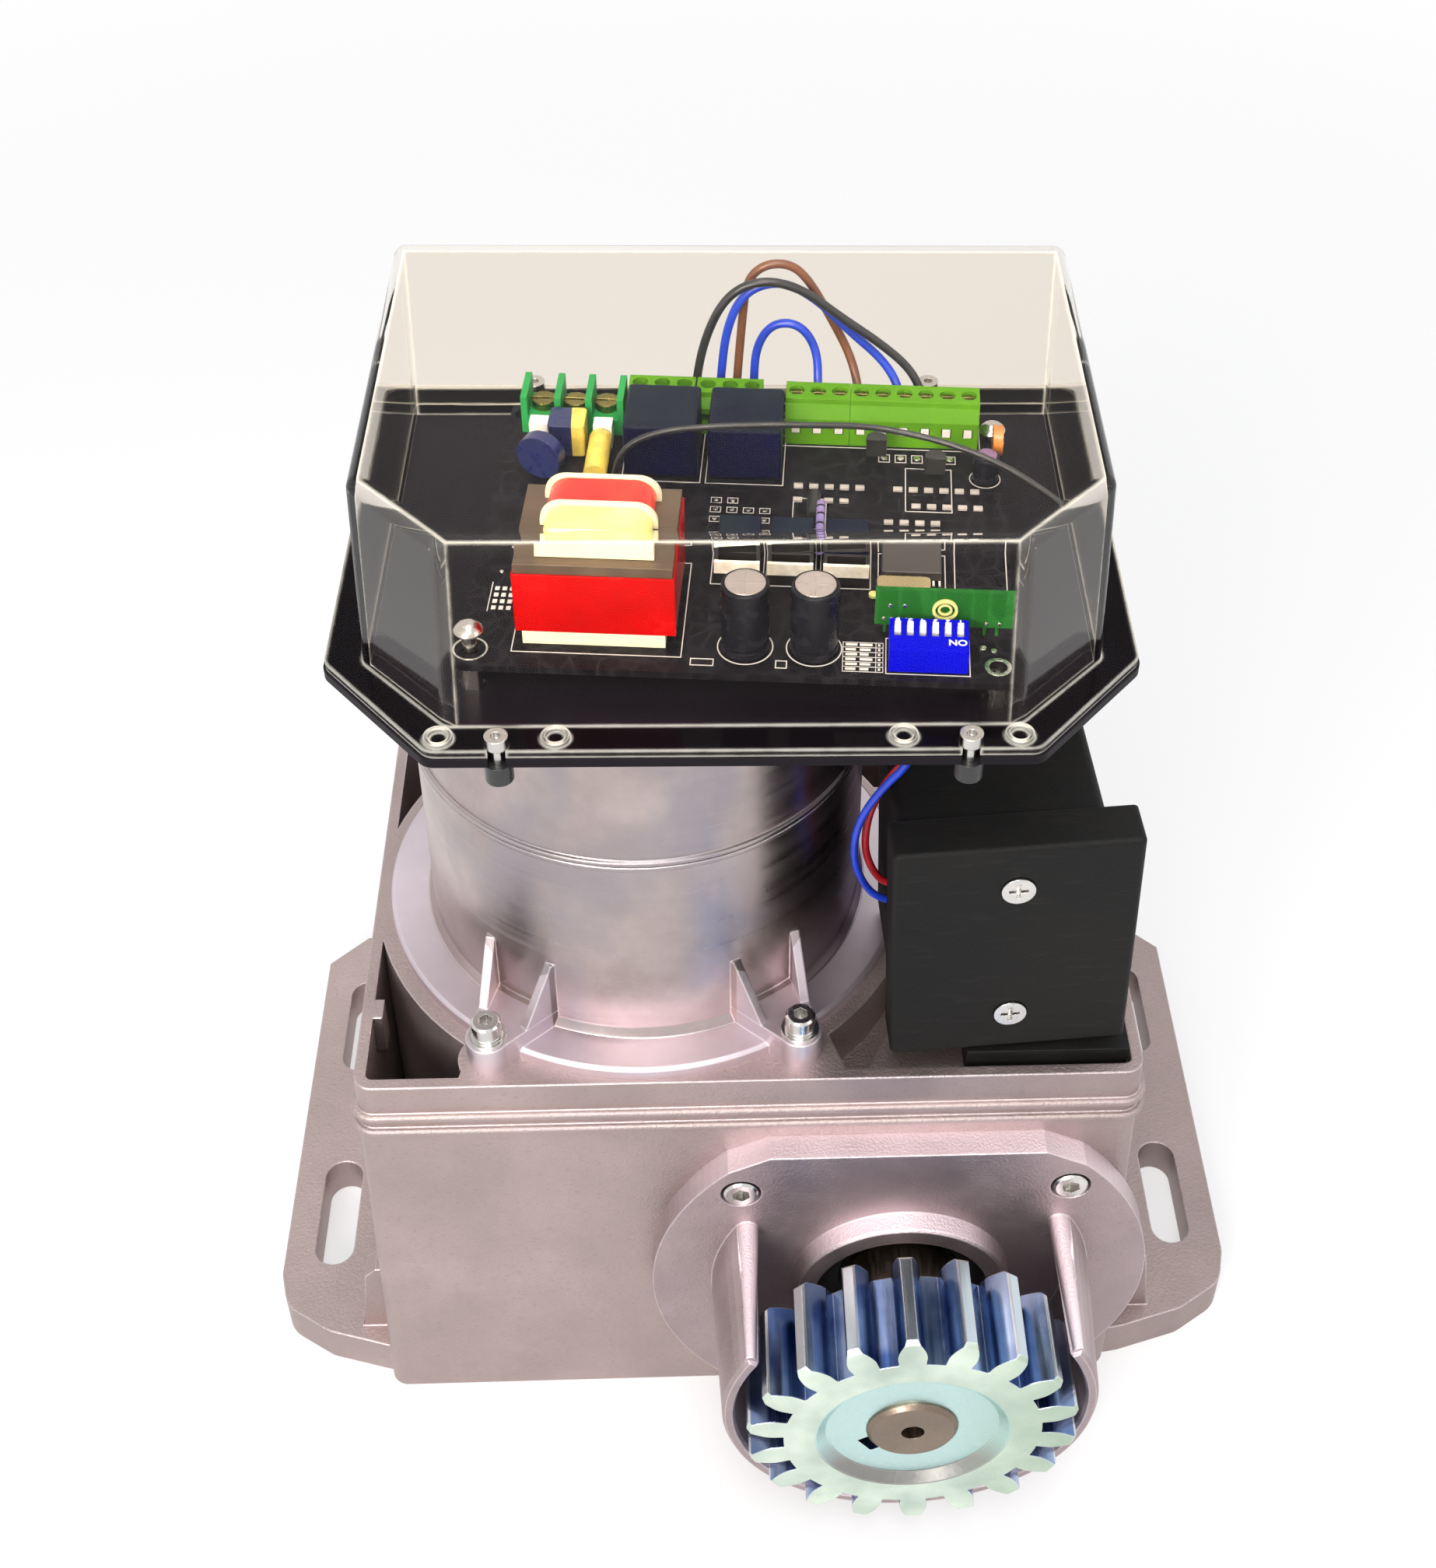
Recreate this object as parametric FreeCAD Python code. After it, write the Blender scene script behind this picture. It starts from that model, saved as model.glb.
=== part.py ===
"""Sliding gate motor: cast gearbox, vertical AC motor, worm drive, rack pinion and control board.

Frame: X to the right seen from the gate side, -Y towards the gate, +Z up.
Origin: on the ground plane, midway between the four foot slots. Millimetres.
"""
import FreeCAD, Part
import math
import os

V = FreeCAD.Vector

# ---------------------------------------------------------------- driving dimensions
# gear train
MODULE = 4.0                # rack pinion module
PINION_TEETH = 18
PRESSURE_ANGLE = math.radians(20.0)
PINION_WIDTH = 23.6
WORM_MODULE = 3.0
WHEEL_TEETH = 30
WORM_PITCH_R = 17.5
WHEEL_WIDTH = 20.0
BACKLASH = 0.5              # taken off each worm thread and each wheel tooth

# axes
SHAFT_X = 37.5
SHAFT_Z = 56.5
WHEEL_PITCH_R = WORM_MODULE * WHEEL_TEETH / 2
MOTOR_X = SHAFT_X - WHEEL_PITCH_R - WORM_PITCH_R
MOTOR_Y = -16.0

# gearbox casting
BODY_TOP = 128.0
BODY_HALF_TOP = 93.0
BODY_HALF_BOTTOM = 97.0
BODY_FRONT = -81.5
BODY_REAR = 66.0
WALL = 2.8
FOOT_HALF = 130.8
FOOT_MID = 2.4              # the feet sit this far to the right of the box
FOOT_T = 12.0
FOOT_FRONT = -68.0
FOOT_REAR = 69.5
SLOT_X = 117.4
SLOT_Y = 33.8
SLOT_W = 10.5
SLOT_L = 34.5
CHAMBER_TOP = 108.0

# bearing flange and gear guard
FLANGE_T = 7.0
FLANGE_R = 62.5
FLANGE_FLAT = 50.3
SPIGOT_R = 49.0
GUARD_FRONT = -126.0
PINION_FRONT = -132.6

# motor
SEAT_R = 68.0
DISC_R = 64.4
DISC_T = 3.4
MOTOR_R = 53.3
BORE_R = 49.5
SEAM_Z = 188.6
MOTOR_TOP = 228.0
EAR_X = 36.5
EAR_Y = 57.0
EAR_T = 8.0

# control box
PLATE_Z = 236.8
PLATE_T = 2.2
CLEAR_T = 1.8
PLATE_HALF = 84.7
PLATE_FRONT = -88.4
PLATE_REAR = 40.0
COVER_X = -3.0               # middle of the plate and cover
COVER_TURN = -0.8            # degrees, seen from above
COVER_HALF = 76.4
COVER_FRONT = -80.8
COVER_REAR = 31.5
COVER_TOP = 287.0
COVER_WALL = 2.0
BOARD_Z = 248.0             # top face of the circuit board
BOARD_W = 113.0
BOARD_D = 90.0
BOARD_T = 1.6
BOARD_X = -59.9             # front left corner of the board
BOARD_Y = -69.0
BOARD_TURN = -4.4           # degrees, seen from above

# limit switch
LIMIT_W = 55.5
LIMIT_H = 67.0
LIMIT_X = 60.3
LIMIT_Z = 132.6
LIMIT_FRONT = -76.6
LIMIT_DEPTH = 10.8           # of the lid
LIMIT_ROLL = -2.0            # degrees about Y
LIMIT_TURN = 2.4             # degrees about Z

FIT = 0.03                  # radial running clearance
Z_UP = V(0, 0, 1)
Y_BACK = V(0, 1, 0)
X_RIGHT = V(1, 0, 0)


# ---------------------------------------------------------------- helpers
def outward(shape):
    """The same solid with its faces pointing outwards."""
    return shape if shape.Volume > 0 else shape.reversed()


def box(x0, x1, y0, y1, z0, z1):
    return Part.makeBox(x1 - x0, y1 - y0, z1 - z0, V(x0, y0, z0))


def cyl(radius, length, base, axis=Z_UP):
    return Part.makeCylinder(radius, length, base, axis)


def ring(outer, inner, length, base, axis=Z_UP):
    return cyl(outer, length, base, axis).cut(cyl(inner, length + 2, base - axis, axis))


def prism(points, z0, z1):
    """Straight prism on a plan outline given as (x, y) points."""
    corners = [V(x, y, z0) for x, y in points]
    face = Part.Face(Part.makePolygon(corners + corners[:1]))
    return outward(face.extrude(V(0, 0, z1 - z0)))


def side_prism(points, y0, y1):
    """Straight prism along Y on an outline given as (x, z) points."""
    corners = [V(x, y0, z) for x, z in points]
    face = Part.Face(Part.makePolygon(corners + corners[:1]))
    return outward(face.extrude(V(0, y1 - y0, 0)))


def revolve(points, base, axis=Z_UP):
    """Full turn of a profile of (radius, height) points about an axis through base."""
    out = V(1, 0, 0)
    corners = [base + out * r + axis * h for r, h in points]
    face = Part.Face(Part.makePolygon(corners + corners[:1]))
    return outward(face.revolve(base, axis, 360))


def fuse(shapes):
    shapes = list(shapes)
    return shapes[0].multiFuse(shapes[1:]).removeSplitter() if len(shapes) > 1 else shapes[0]


def turned(shape, degrees, centre, axis=Z_UP):
    copy = shape.copy()
    copy.rotate(centre, axis, degrees)
    return copy


def moved(shape, x, y, z):
    copy = shape.copy()
    copy.translate(V(x, y, z))
    return copy


def rounded_plan(half, front, rear, radius, z0, z1, narrow=0.0):
    """Box with rounded upright corners, its long sides leaning in by narrow at the top."""
    def wire(h, z):
        pts = [(-h, front), (h, front), (h, rear), (-h, rear)]
        edges = []
        arcs = []
        n = len(pts)
        for i, (x, y) in enumerate(pts):
            px, py = pts[i - 1]
            nx, ny = pts[(i + 1) % n]
            a = V(x, y, z) + V(px - x, py - y, 0).normalize() * radius
            b = V(x, y, z) + V(nx - x, ny - y, 0).normalize() * radius
            centre = a + b - V(x, y, z)
            middle = centre + (V(x, y, z) - centre).normalize() * radius
            arcs.append((a, middle, b))
        for i, (a, middle, b) in enumerate(arcs):
            edges.append(Part.Arc(a, middle, b).toShape())
            edges.append(Part.LineSegment(b, arcs[(i + 1) % n][0]).toShape())
        return Part.Wire(edges)
    return Part.makeLoft([wire(half, z0), wire(half - narrow, z1)], True, True)


def cap_screw(point, axis, head_r=5.0, head_h=6.0, shank_r=3.0, shank=14.0, socket=2.5):
    """Socket cap screw; point is the centre of the seat under the head, axis points outwards."""
    head = cyl(head_r, head_h, point, axis)
    rim = [e for e in head.Edges if (e.BoundBox.Center - (point + axis * head_h)).Length < 0.01]
    head = head.makeChamfer(0.5, rim[:1])
    hexagon = [point + axis * head_h]
    side = axis.cross(V(0.3, 0.5, 0.8)).normalize()
    up = axis.cross(side)
    corners = [hexagon[0] + side * (socket * 1.155 * math.cos(i * math.pi / 3))
               + up * (socket * 1.155 * math.sin(i * math.pi / 3)) for i in range(7)]
    key = Part.Face(Part.makePolygon(corners)).extrude(axis * -3.2)
    return head.fuse(cyl(shank_r, shank, point - axis * shank, axis)).cut(key)


def export(name, shape):
    """One STEP per node; a list becomes a group of separate solids."""
    if isinstance(shape, (list, tuple)):
        shape = Part.makeCompound([s for item in shape for s in item.Solids])
    if not shape.isValid() or not shape.Solids:
        raise ValueError(name + " is not a valid solid")
    shape.exportStep(os.path.join("parts", name + ".step"))
    print(name, len(shape.Solids), round(shape.Volume / 1000.0, 2), "cm3")


# ---------------------------------------------------------------- gears
def involute(base_r, r):
    """Polar angle of the involute of a base circle at radius r."""
    t = math.sqrt(max((r / base_r) ** 2 - 1.0, 0.0))
    return t - math.atan(t)


def gear_wire(module, teeth, angle, height, thin=0.0, turn=0.0, tip_add=1.0, root_ded=1.25):
    """Closed outline of an involute gear in the XY plane; a tooth centre lies at angle turn."""
    pitch_r = module * teeth / 2
    base_r = pitch_r * math.cos(angle)
    tip_r = pitch_r + tip_add * module
    root_r = pitch_r - root_ded * module
    half = math.pi / (2 * teeth) - thin / (2 * pitch_r) + involute(base_r, pitch_r)
    start_r = max(base_r, root_r)

    def at(r, a):
        return V(r * math.cos(a), r * math.sin(a), height)

    edges = []
    step = 2 * math.pi / teeth
    radii = [start_r + (tip_r - start_r) * k / 4 for k in range(5)]
    for i in range(teeth):
        c = turn + i * step
        left = [at(r, c - half + involute(base_r, r)) for r in radii]
        right = [at(r, c + half - involute(base_r, r)) for r in reversed(radii)]
        flank_in = at(root_r, c - half)
        flank_out = at(root_r, c + half)
        if root_r < start_r - 0.01:
            edges.append(Part.LineSegment(flank_in, left[0]).toShape())
        curve = Part.BSplineCurve()
        curve.interpolate(left)
        edges.append(curve.toShape())
        edges.append(Part.Arc(left[-1], at(tip_r, c), right[0]).toShape())
        curve = Part.BSplineCurve()
        curve.interpolate(right)
        edges.append(curve.toShape())
        if root_r < start_r - 0.01:
            edges.append(Part.LineSegment(right[-1], flank_out).toShape())
        next_in = at(root_r, c + step - half)
        edges.append(Part.Arc(flank_out, at(root_r, c + step / 2), next_in).toShape())
    return Part.Wire(edges)


def stand_on_y(shape, x, y, z):
    """Turn a gear made about +Z so that its axis lies along +Y, then place it."""
    copy = shape.copy()
    copy.rotate(V(0, 0, 0), X_RIGHT, -90)
    copy.translate(V(x, y, z))
    return copy


def shaft_point(y, dx=0.0, dz=0.0):
    return V(SHAFT_X + dx, y, SHAFT_Z + dz)


def motor_point(z, dx=0.0, dy=0.0):
    return V(MOTOR_X + dx, MOTOR_Y + dy, z)


def pinion():
    wire = gear_wire(MODULE, PINION_TEETH, PRESSURE_ANGLE, 0.0, thin=0.1, turn=math.radians(-93))
    body = Part.Face(wire).extrude(V(0, 0, PINION_WIDTH))
    tip_r = MODULE * (PINION_TEETH + 2) / 2
    blank = revolve([(0, 0), (tip_r - 1.0, 0), (tip_r + 0.2, 1.2), (tip_r + 0.2, PINION_WIDTH - 1.2),
                     (tip_r - 1.0, PINION_WIDTH), (0, PINION_WIDTH)], V(0, 0, 0))
    body = body.common(blank)
    body = stand_on_y(body, SHAFT_X, PINION_FRONT, SHAFT_Z)
    recess = revolve([(0, -1), (23.2, -1), (23.2, 0), (20.8, 2.1), (0, 2.1)],
                     shaft_point(PINION_FRONT), Y_BACK)
    hub = cyl(19.0, 6.8, shaft_point(PINION_FRONT + PINION_WIDTH), Y_BACK)
    body = body.cut(recess).fuse(hub)
    body = body.cut(cyl(11.0 + FIT, 60, shaft_point(PINION_FRONT - 5), Y_BACK))
    keyway = box(SHAFT_X - 3, SHAFT_X + 3, PINION_FRONT - 5, PINION_FRONT + 40, SHAFT_Z, SHAFT_Z + 13.8)
    return body.cut(turned(keyway, -125, shaft_point(0), Y_BACK))


def pinion_key():
    key = box(SHAFT_X - 2.95, SHAFT_X + 2.95, PINION_FRONT + 8.0, PINION_FRONT + 27.0,
              SHAFT_Z + 7.5, SHAFT_Z + 13.5)
    return turned(key, -125, shaft_point(0), Y_BACK)


def output_shaft():
    end = PINION_FRONT + 0.6
    profile = [(2.8, 0), (10.0, 0), (11.0, 1.0), (11.0, 29.8), (14.0, 29.8), (14.0, 43.8), (12.5, 44.8),
               (12.5, 70.8), (15.0, 70.8), (15.0, 135.8), (10.0, 135.8), (10.0, 154.6), (0, 154.6),
               (0, 9.0), (2.8, 6.0)]
    shaft = revolve(profile, shaft_point(end), Y_BACK)
    y0 = PINION_FRONT + 7.5
    seat = box(SHAFT_X - 3, SHAFT_X + 3, y0, y0 + 20, SHAFT_Z + 7.5, SHAFT_Z + 20)
    return shaft.cut(turned(seat, -125, shaft_point(0), Y_BACK))


def worm_wheel():
    """Bronze rim on an iron centre; its helical teeth follow the worm's lead."""
    lead = WORM_MODULE / (2 * WORM_PITCH_R)
    twist = lead * WHEEL_WIDTH / WHEEL_PITCH_R
    first = math.pi + math.pi / WHEEL_TEETH
    wires = []
    for k in (0, 1):
        turn = first + (k - 0.5) * twist
        wires.append(gear_wire(WORM_MODULE, WHEEL_TEETH, PRESSURE_ANGLE, k * WHEEL_WIDTH,
                               thin=BACKLASH, turn=turn, tip_add=0.95))
    body = Part.makeLoft(wires, True, True)
    body = stand_on_y(body, SHAFT_X, MOTOR_Y - WHEEL_WIDTH / 2, SHAFT_Z)
    side = MOTOR_Y - WHEEL_WIDTH / 2
    for y in (side - 1, side + WHEEL_WIDTH - 5):
        body = body.cut(ring(35.0, 23.0, 6.0, shaft_point(y), Y_BACK))
    body = body.cut(cyl(15.0 + FIT, 40, shaft_point(side - 5), Y_BACK))
    holes = [cyl(5.0, 40, shaft_point(side - 5, 29 * math.cos(a), 29 * math.sin(a)), Y_BACK)
             for a in [k * math.pi / 3 for k in range(6)]]
    return body.cut(Part.makeCompound(holes))


def worm_shaft():
    """Motor shaft with the worm cut on it: a trapezoid thread swept along a helix."""
    core = revolve([(0, 9.5), (7.5, 9.5), (7.5, 20.5), (11.0, 20.5), (11.0, 30.0), (13.9, 31.5),
                    (13.9, 81.5), (11.0, 83.0), (11.0, 100.0), (10.0, 101.0), (10.0, 150.0),
                    (10.5, 150.5), (10.5, 204.0), (8.5, 205.0), (8.5, 224.0), (0, 224.0)],
                   V(MOTOR_X, MOTOR_Y, 0))
    pitch = math.pi * WORM_MODULE
    turns = 4
    start_z = SHAFT_Z - turns * pitch / 2
    helix = Part.makeHelix(pitch, turns * pitch, WORM_PITCH_R)
    helix.translate(V(MOTOR_X, MOTOR_Y, start_z))
    slope = math.tan(PRESSURE_ANGLE)
    half = pitch / 4 - BACKLASH / 2
    inner = 13.5
    outer = WORM_PITCH_R + 0.95 * WORM_MODULE
    low = half + (WORM_PITCH_R - inner) * slope
    high = half - (outer - WORM_PITCH_R) * slope
    corners = [motor_point(start_z - low, inner), motor_point(start_z - high, outer),
               motor_point(start_z + high, outer), motor_point(start_z + low, inner)]
    thread = Part.Wire(helix).makePipeShell([Part.makePolygon(corners + corners[:1])], True, True)
    if thread.Volume < 0:
        thread.reverse()
    return core.fuse(thread)


def ball_bearing(bore_r, outer_r, width, base, axis, balls=9):
    """Deep groove bearing: two rings with a ball row between them."""
    third = (outer_r - bore_r) / 3.2
    middle = (outer_r + bore_r) / 2
    groove = Part.makeTorus(middle, third * 0.62, base + axis * (width / 2), axis)
    outer = ring(outer_r, outer_r - third, width, base, axis).cut(groove)
    inner = ring(bore_r + third, bore_r + FIT, width, base, axis).cut(groove)
    side = axis.cross(V(0.3, 0.5, 0.8)).normalize()
    up = axis.cross(side)
    row = []
    for k in range(balls):
        a = 2 * math.pi * k / balls
        centre = base + axis * (width / 2) + side * (middle * math.cos(a)) + up * (middle * math.sin(a))
        row.append(Part.makeSphere(third * 0.6, centre))
    return [outer, inner] + row


def lip_seal(shaft_r, outer_r, width, base, axis):
    """Rubber ring with a lip that just clears the shaft."""
    return revolve([(shaft_r + FIT, width * 0.45), (shaft_r + FIT, width * 0.6), (shaft_r + 2.2, width),
                    (outer_r, width), (outer_r, 0), (shaft_r + 3.0, 0), (shaft_r + 2.6, width * 0.3)],
                   base, axis)


# ---------------------------------------------------------------- gearbox casting
def foot(side):
    """Fixing foot: two slots along Y, a swept front edge, a chamfered rear corner and three buttresses."""
    x = FOOT_HALF
    plan = [(80, FOOT_FRONT - 12), (99, FOOT_FRONT - 9), (116, FOOT_FRONT - 4), (x - 2.5, FOOT_FRONT + 4),
            (x, FOOT_FRONT + 14), (x, FOOT_REAR - 10.5), (x - 11, FOOT_REAR), (80, FOOT_REAR)]
    plate = prism(plan, 0, FOOT_T)
    corners = [e for e in plate.Edges if e.BoundBox.ZLength > FOOT_T - 1 and e.BoundBox.XMin > 110
               and e.BoundBox.YMax < 0]
    plate = plate.makeFillet(9.0, corners)
    for y in (-SLOT_Y, SLOT_Y):
        w = SLOT_W / 2
        run = SLOT_L / 2 - w
        slot = box(SLOT_X - w, SLOT_X + w, y - run, y + run, -1, FOOT_T + 1)
        slot = slot.fuse(cyl(w, FOOT_T + 2, V(SLOT_X, y - run, -1)))
        slot = slot.fuse(cyl(w, FOOT_T + 2, V(SLOT_X, y + run, -1)))
        plate = plate.cut(slot)
    for y0 in (-70.5, -3.0, FOOT_REAR - 9):
        outline = [(88, FOOT_T - 1), (107.5, FOOT_T - 1), (106.5, FOOT_T + 1), (104, FOOT_T + 23),
                   (101, FOOT_T + 26), (88, FOOT_T + 26)]
        buttress = side_prism(outline, y0, y0 + 6.5)
        plate = plate.fuse(buttress)
    if side < 0:
        plate = plate.mirror(V(0, 0, 0), X_RIGHT)
    return moved(plate, FOOT_MID, 0, 0)


def ear_points():
    return [(MOTOR_X + sx * EAR_X, MOTOR_Y + sy * EAR_Y) for sx in (-1, 1) for sy in (-1, 1)]


def base_casting():
    shell = rounded_plan(BODY_HALF_BOTTOM, BODY_FRONT, BODY_REAR, 4.5, 0, BODY_TOP,
                         BODY_HALF_BOTTOM - BODY_HALF_TOP)
    hollow = rounded_plan(BODY_HALF_BOTTOM - WALL, BODY_FRONT + WALL, BODY_REAR - WALL, 1.7, 10, 129.0,
                          BODY_HALF_BOTTOM - BODY_HALF_TOP)
    shell = shell.cut(hollow)
    # two beads round the outside, under the rim
    for z in (BODY_TOP - 16.8, BODY_TOP - 11.6):
        lean = (BODY_HALF_BOTTOM - BODY_HALF_TOP) * (z + 1.2) / BODY_TOP
        side = BODY_HALF_BOTTOM - lean
        bead = rounded_plan(side + 1.5, BODY_FRONT - 1.5, BODY_REAR + 1.5, 6.0, z, z + 2.2)
        bead = bead.makeFillet(0.9, [e for e in bead.Edges if e.BoundBox.ZLength < 0.01])
        bead = bead.cut(rounded_plan(side - 1.5, BODY_FRONT + 1.5, BODY_REAR - 1.5, 3.0, z - 1, z + 4))
        shell = shell.fuse(bead)

    inside = rounded_plan(BODY_HALF_BOTTOM - 1.0, BODY_FRONT + 1.0, BODY_REAR - 1.0, 8.0, 0, BODY_TOP,
                          BODY_HALF_BOTTOM - BODY_HALF_TOP)
    # tower under the motor, with a web from the front pads to the front wall
    tower = cyl(SEAT_R, BODY_TOP, V(MOTOR_X, MOTOR_Y, 0))
    web = prism([(-69, BODY_FRONT + 1), (23, BODY_FRONT + 1), (14, -55), (-62, -55)], 0, BODY_TOP)
    tower = tower.fuse(web)
    for x, y in ear_points():
        tower = tower.fuse(cyl(7.5, 60, V(x, y, BODY_TOP - 60)))
    # wheel chamber to the right of the tower; its roof is the shelf for the limit switch
    right = BODY_HALF_BOTTOM - 2
    chamber = prism([(24, BODY_FRONT + 1), (right, BODY_FRONT + 1), (right, 22), (0, 22), (0, -50)],
                    0, BODY_TOP - 6)
    notch = prism([(14, -76), (27, -76), (40, -50), (50, -8), (30, 20), (0, 20), (0, -50)],
                  CHAMBER_TOP + 6, BODY_TOP)
    chamber = chamber.cut(notch)
    solid = shell.fuse(tower.fuse(chamber).common(inside))

    # oil chamber: round under the motor, wide enough for the wheel beside it
    oil = cyl(60.0, CHAMBER_TOP - 10, V(MOTOR_X, MOTOR_Y, 10))
    oil = oil.common(box(-100, 100, -72, 60, 0, 140))
    wheel_room = box(SHAFT_X - 45, SHAFT_X + SPIGOT_R, -72, 14, 24, CHAMBER_TOP)
    wheel_room = wheel_room.fuse(cyl(SPIGOT_R - 0.2, 86, shaft_point(-72), Y_BACK))
    solid = solid.cut(oil.fuse(wheel_room))
    # front bore for the bearing flange, motor bore in the deck
    solid = solid.cut(cyl(SPIGOT_R, 12, shaft_point(BODY_FRONT - 2), Y_BACK))
    solid = solid.cut(cyl(36.0 + FIT, 30, motor_point(CHAMBER_TOP - 4)))
    # boss for the lower end of the worm shaft
    boss = cyl(24.0, 14.0, V(MOTOR_X, MOTOR_Y, 6))
    solid = solid.fuse(boss)
    solid = solid.cut(cyl(17.5, 12.0, V(MOTOR_X, MOTOR_Y, 9.0)))
    # boss for the rear end of the output shaft
    rear = cyl(31.0, 20.0, shaft_point(8.0), Y_BACK)
    solid = solid.fuse(rear)
    solid = solid.cut(cyl(23.5, 15.0, shaft_point(7.0), Y_BACK))
    solid = solid.cut(cyl(13.0, 5.0, shaft_point(20.0), Y_BACK))

    for side in (-1, 1):
        solid = solid.fuse(foot(side))
    # tapped holes for the motor and flange screws
    for x, y in ear_points():
        solid = solid.cut(cyl(2.05, 18, V(x, y, BODY_TOP - 18)))
    for dx in (-40.2, 40.2):
        for dz in (-36.8, 36.8):
            solid = solid.cut(cyl(2.55, 14, V(SHAFT_X + dx, BODY_FRONT - 1, SHAFT_Z + dz), Y_BACK))
    # lug inside the left wall, and the cable opening in the rear wall
    solid = solid.fuse(box(-91.5, -88.0, -60.2, -54.5, BODY_TOP - 12, BODY_TOP))
    solid = solid.cut(cyl(10.0, 20, V(-60, BODY_REAR - 10, 40), Y_BACK))
    return solid.removeSplitter()


# ---------------------------------------------------------------- bearing flange
def bearing_flange():
    face_y = BODY_FRONT - FLANGE_T
    disc = cyl(FLANGE_R, FLANGE_T, shaft_point(face_y), Y_BACK)
    f = FLANGE_FLAT
    outline = [(-33.3, f), (33.3, f), (43.4, 45.0), (99, 0), (43.4, -45.0), (33.3, -f), (-33.3, -f),
               (-43.4, -45.0), (-99, 0), (-43.4, 45.0)]
    cutter = side_prism([(SHAFT_X + x, SHAFT_Z + z) for x, z in outline], face_y - 1, BODY_FRONT + 1)
    disc = disc.common(cutter)
    # bearing boss in front, spigot behind
    boss = revolve([(20.0, 1.0), (27.7, 1.0), (27.0, -4.6), (26.4, -5.2), (20.0, -5.2)],
                   shaft_point(face_y), Y_BACK)
    spigot = cyl(SPIGOT_R - FIT, 6.0, shaft_point(BODY_FRONT), Y_BACK)
    housing = cyl(34.0, 18.0, shaft_point(BODY_FRONT), Y_BACK)
    body = fuse([disc, boss, spigot, housing])
    # gear guard: an arc of wall open at the top, thinner towards its front edge
    wall = revolve([(41.9, 2.0), (47.6, 2.0), (47.6, -3.0), (45.6, GUARD_FRONT - face_y + 1.2),
                    (44.9, GUARD_FRONT - face_y), (43.1, GUARD_FRONT - face_y),
                    (42.5, GUARD_FRONT - face_y + 1.2)], shaft_point(face_y), Y_BACK)
    reach = 80.0
    open_angle = math.radians(30.0)
    side_x = reach * math.cos(open_angle)
    side_z = reach * math.sin(open_angle)
    wedge = side_prism([(SHAFT_X, SHAFT_Z), (SHAFT_X + side_x, SHAFT_Z + side_z),
                        (SHAFT_X + reach, SHAFT_Z + reach * 1.6), (SHAFT_X - reach, SHAFT_Z + reach * 1.6),
                        (SHAFT_X - side_x, SHAFT_Z + side_z)], GUARD_FRONT - 5, face_y)
    wall = wall.cut(wedge)
    for sx in (-1, 1):
        # round the two upper edges of the guard
        top = shaft_point(face_y + 2, sx * 44.7 * math.cos(open_angle), 44.7 * math.sin(open_angle))
        bead = Part.makeCone(2.9, 1.35, face_y + 2 - GUARD_FRONT - 1, top, V(0, -1, 0))
        wall = wall.fuse(bead)
    body = body.fuse(wall)
    # shaft opening, seal seat, bearing seat
    body = body.cut(cyl(22.0, 30.0, shaft_point(face_y - 6), Y_BACK))
    body = body.cut(cyl(26.0, 25.0, shaft_point(BODY_FRONT + 3.0), Y_BACK))
    for dx in (-40.2, 40.2):
        for dz in (-36.8, 36.8):
            body = body.cut(cyl(2.8, 14, shaft_point(face_y - 1, dx, dz), Y_BACK))
            body = body.cut(cyl(5.0, 5.4, shaft_point(face_y - 1, dx, dz), Y_BACK))
    return body.removeSplitter()


def flange_screws():
    seat = BODY_FRONT - FLANGE_T + 4.4
    return [cap_screw(shaft_point(seat, dx, dz), V(0, -1, 0), 4.25, 5.0, 2.5, 13.0, 2.0)
            for dx in (-40.2, 40.2) for dz in (-36.8, 36.8)]


# ---------------------------------------------------------------- motor
def motor_ear(x, y):
    """Screw lug with straight sides that run into the motor barrel, and a rib on each side."""
    axis = V(MOTOR_X, MOTOR_Y, BODY_TOP)
    out = V(x - MOTOR_X, y - MOTOR_Y, 0)
    reach = out.Length
    boss_r = 5.2
    root = 48.0
    side = 11.0
    lug = prism([(root, -side), (reach, -boss_r), (reach, boss_r), (root, side)], BODY_TOP, BODY_TOP + EAR_T)
    lug = lug.fuse(cyl(boss_r, EAR_T, V(reach, 0, BODY_TOP)))
    slant = math.degrees(math.atan2(side - boss_r, reach - root))
    for s in (-1, 1):
        rib = side_prism([(root, BODY_TOP + 2), (62, BODY_TOP + 2), (62, BODY_TOP + EAR_T),
                          (53.6, BODY_TOP + 24), (root, BODY_TOP + 24)], -1.1, 1.1)
        rib.rotate(V(root, 0, 0), Z_UP, -s * slant)
        rib.translate(V(0, s * (side - 1.2), 0))
        lug = lug.fuse(rib)
    lug = lug.cut(cyl(2.3, 30, V(reach, 0, BODY_TOP - 5)))
    lug.rotate(V(0, 0, 0), Z_UP, math.degrees(math.atan2(out.y, out.x)))
    lug.translate(V(axis.x, axis.y, 0))
    return lug


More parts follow.
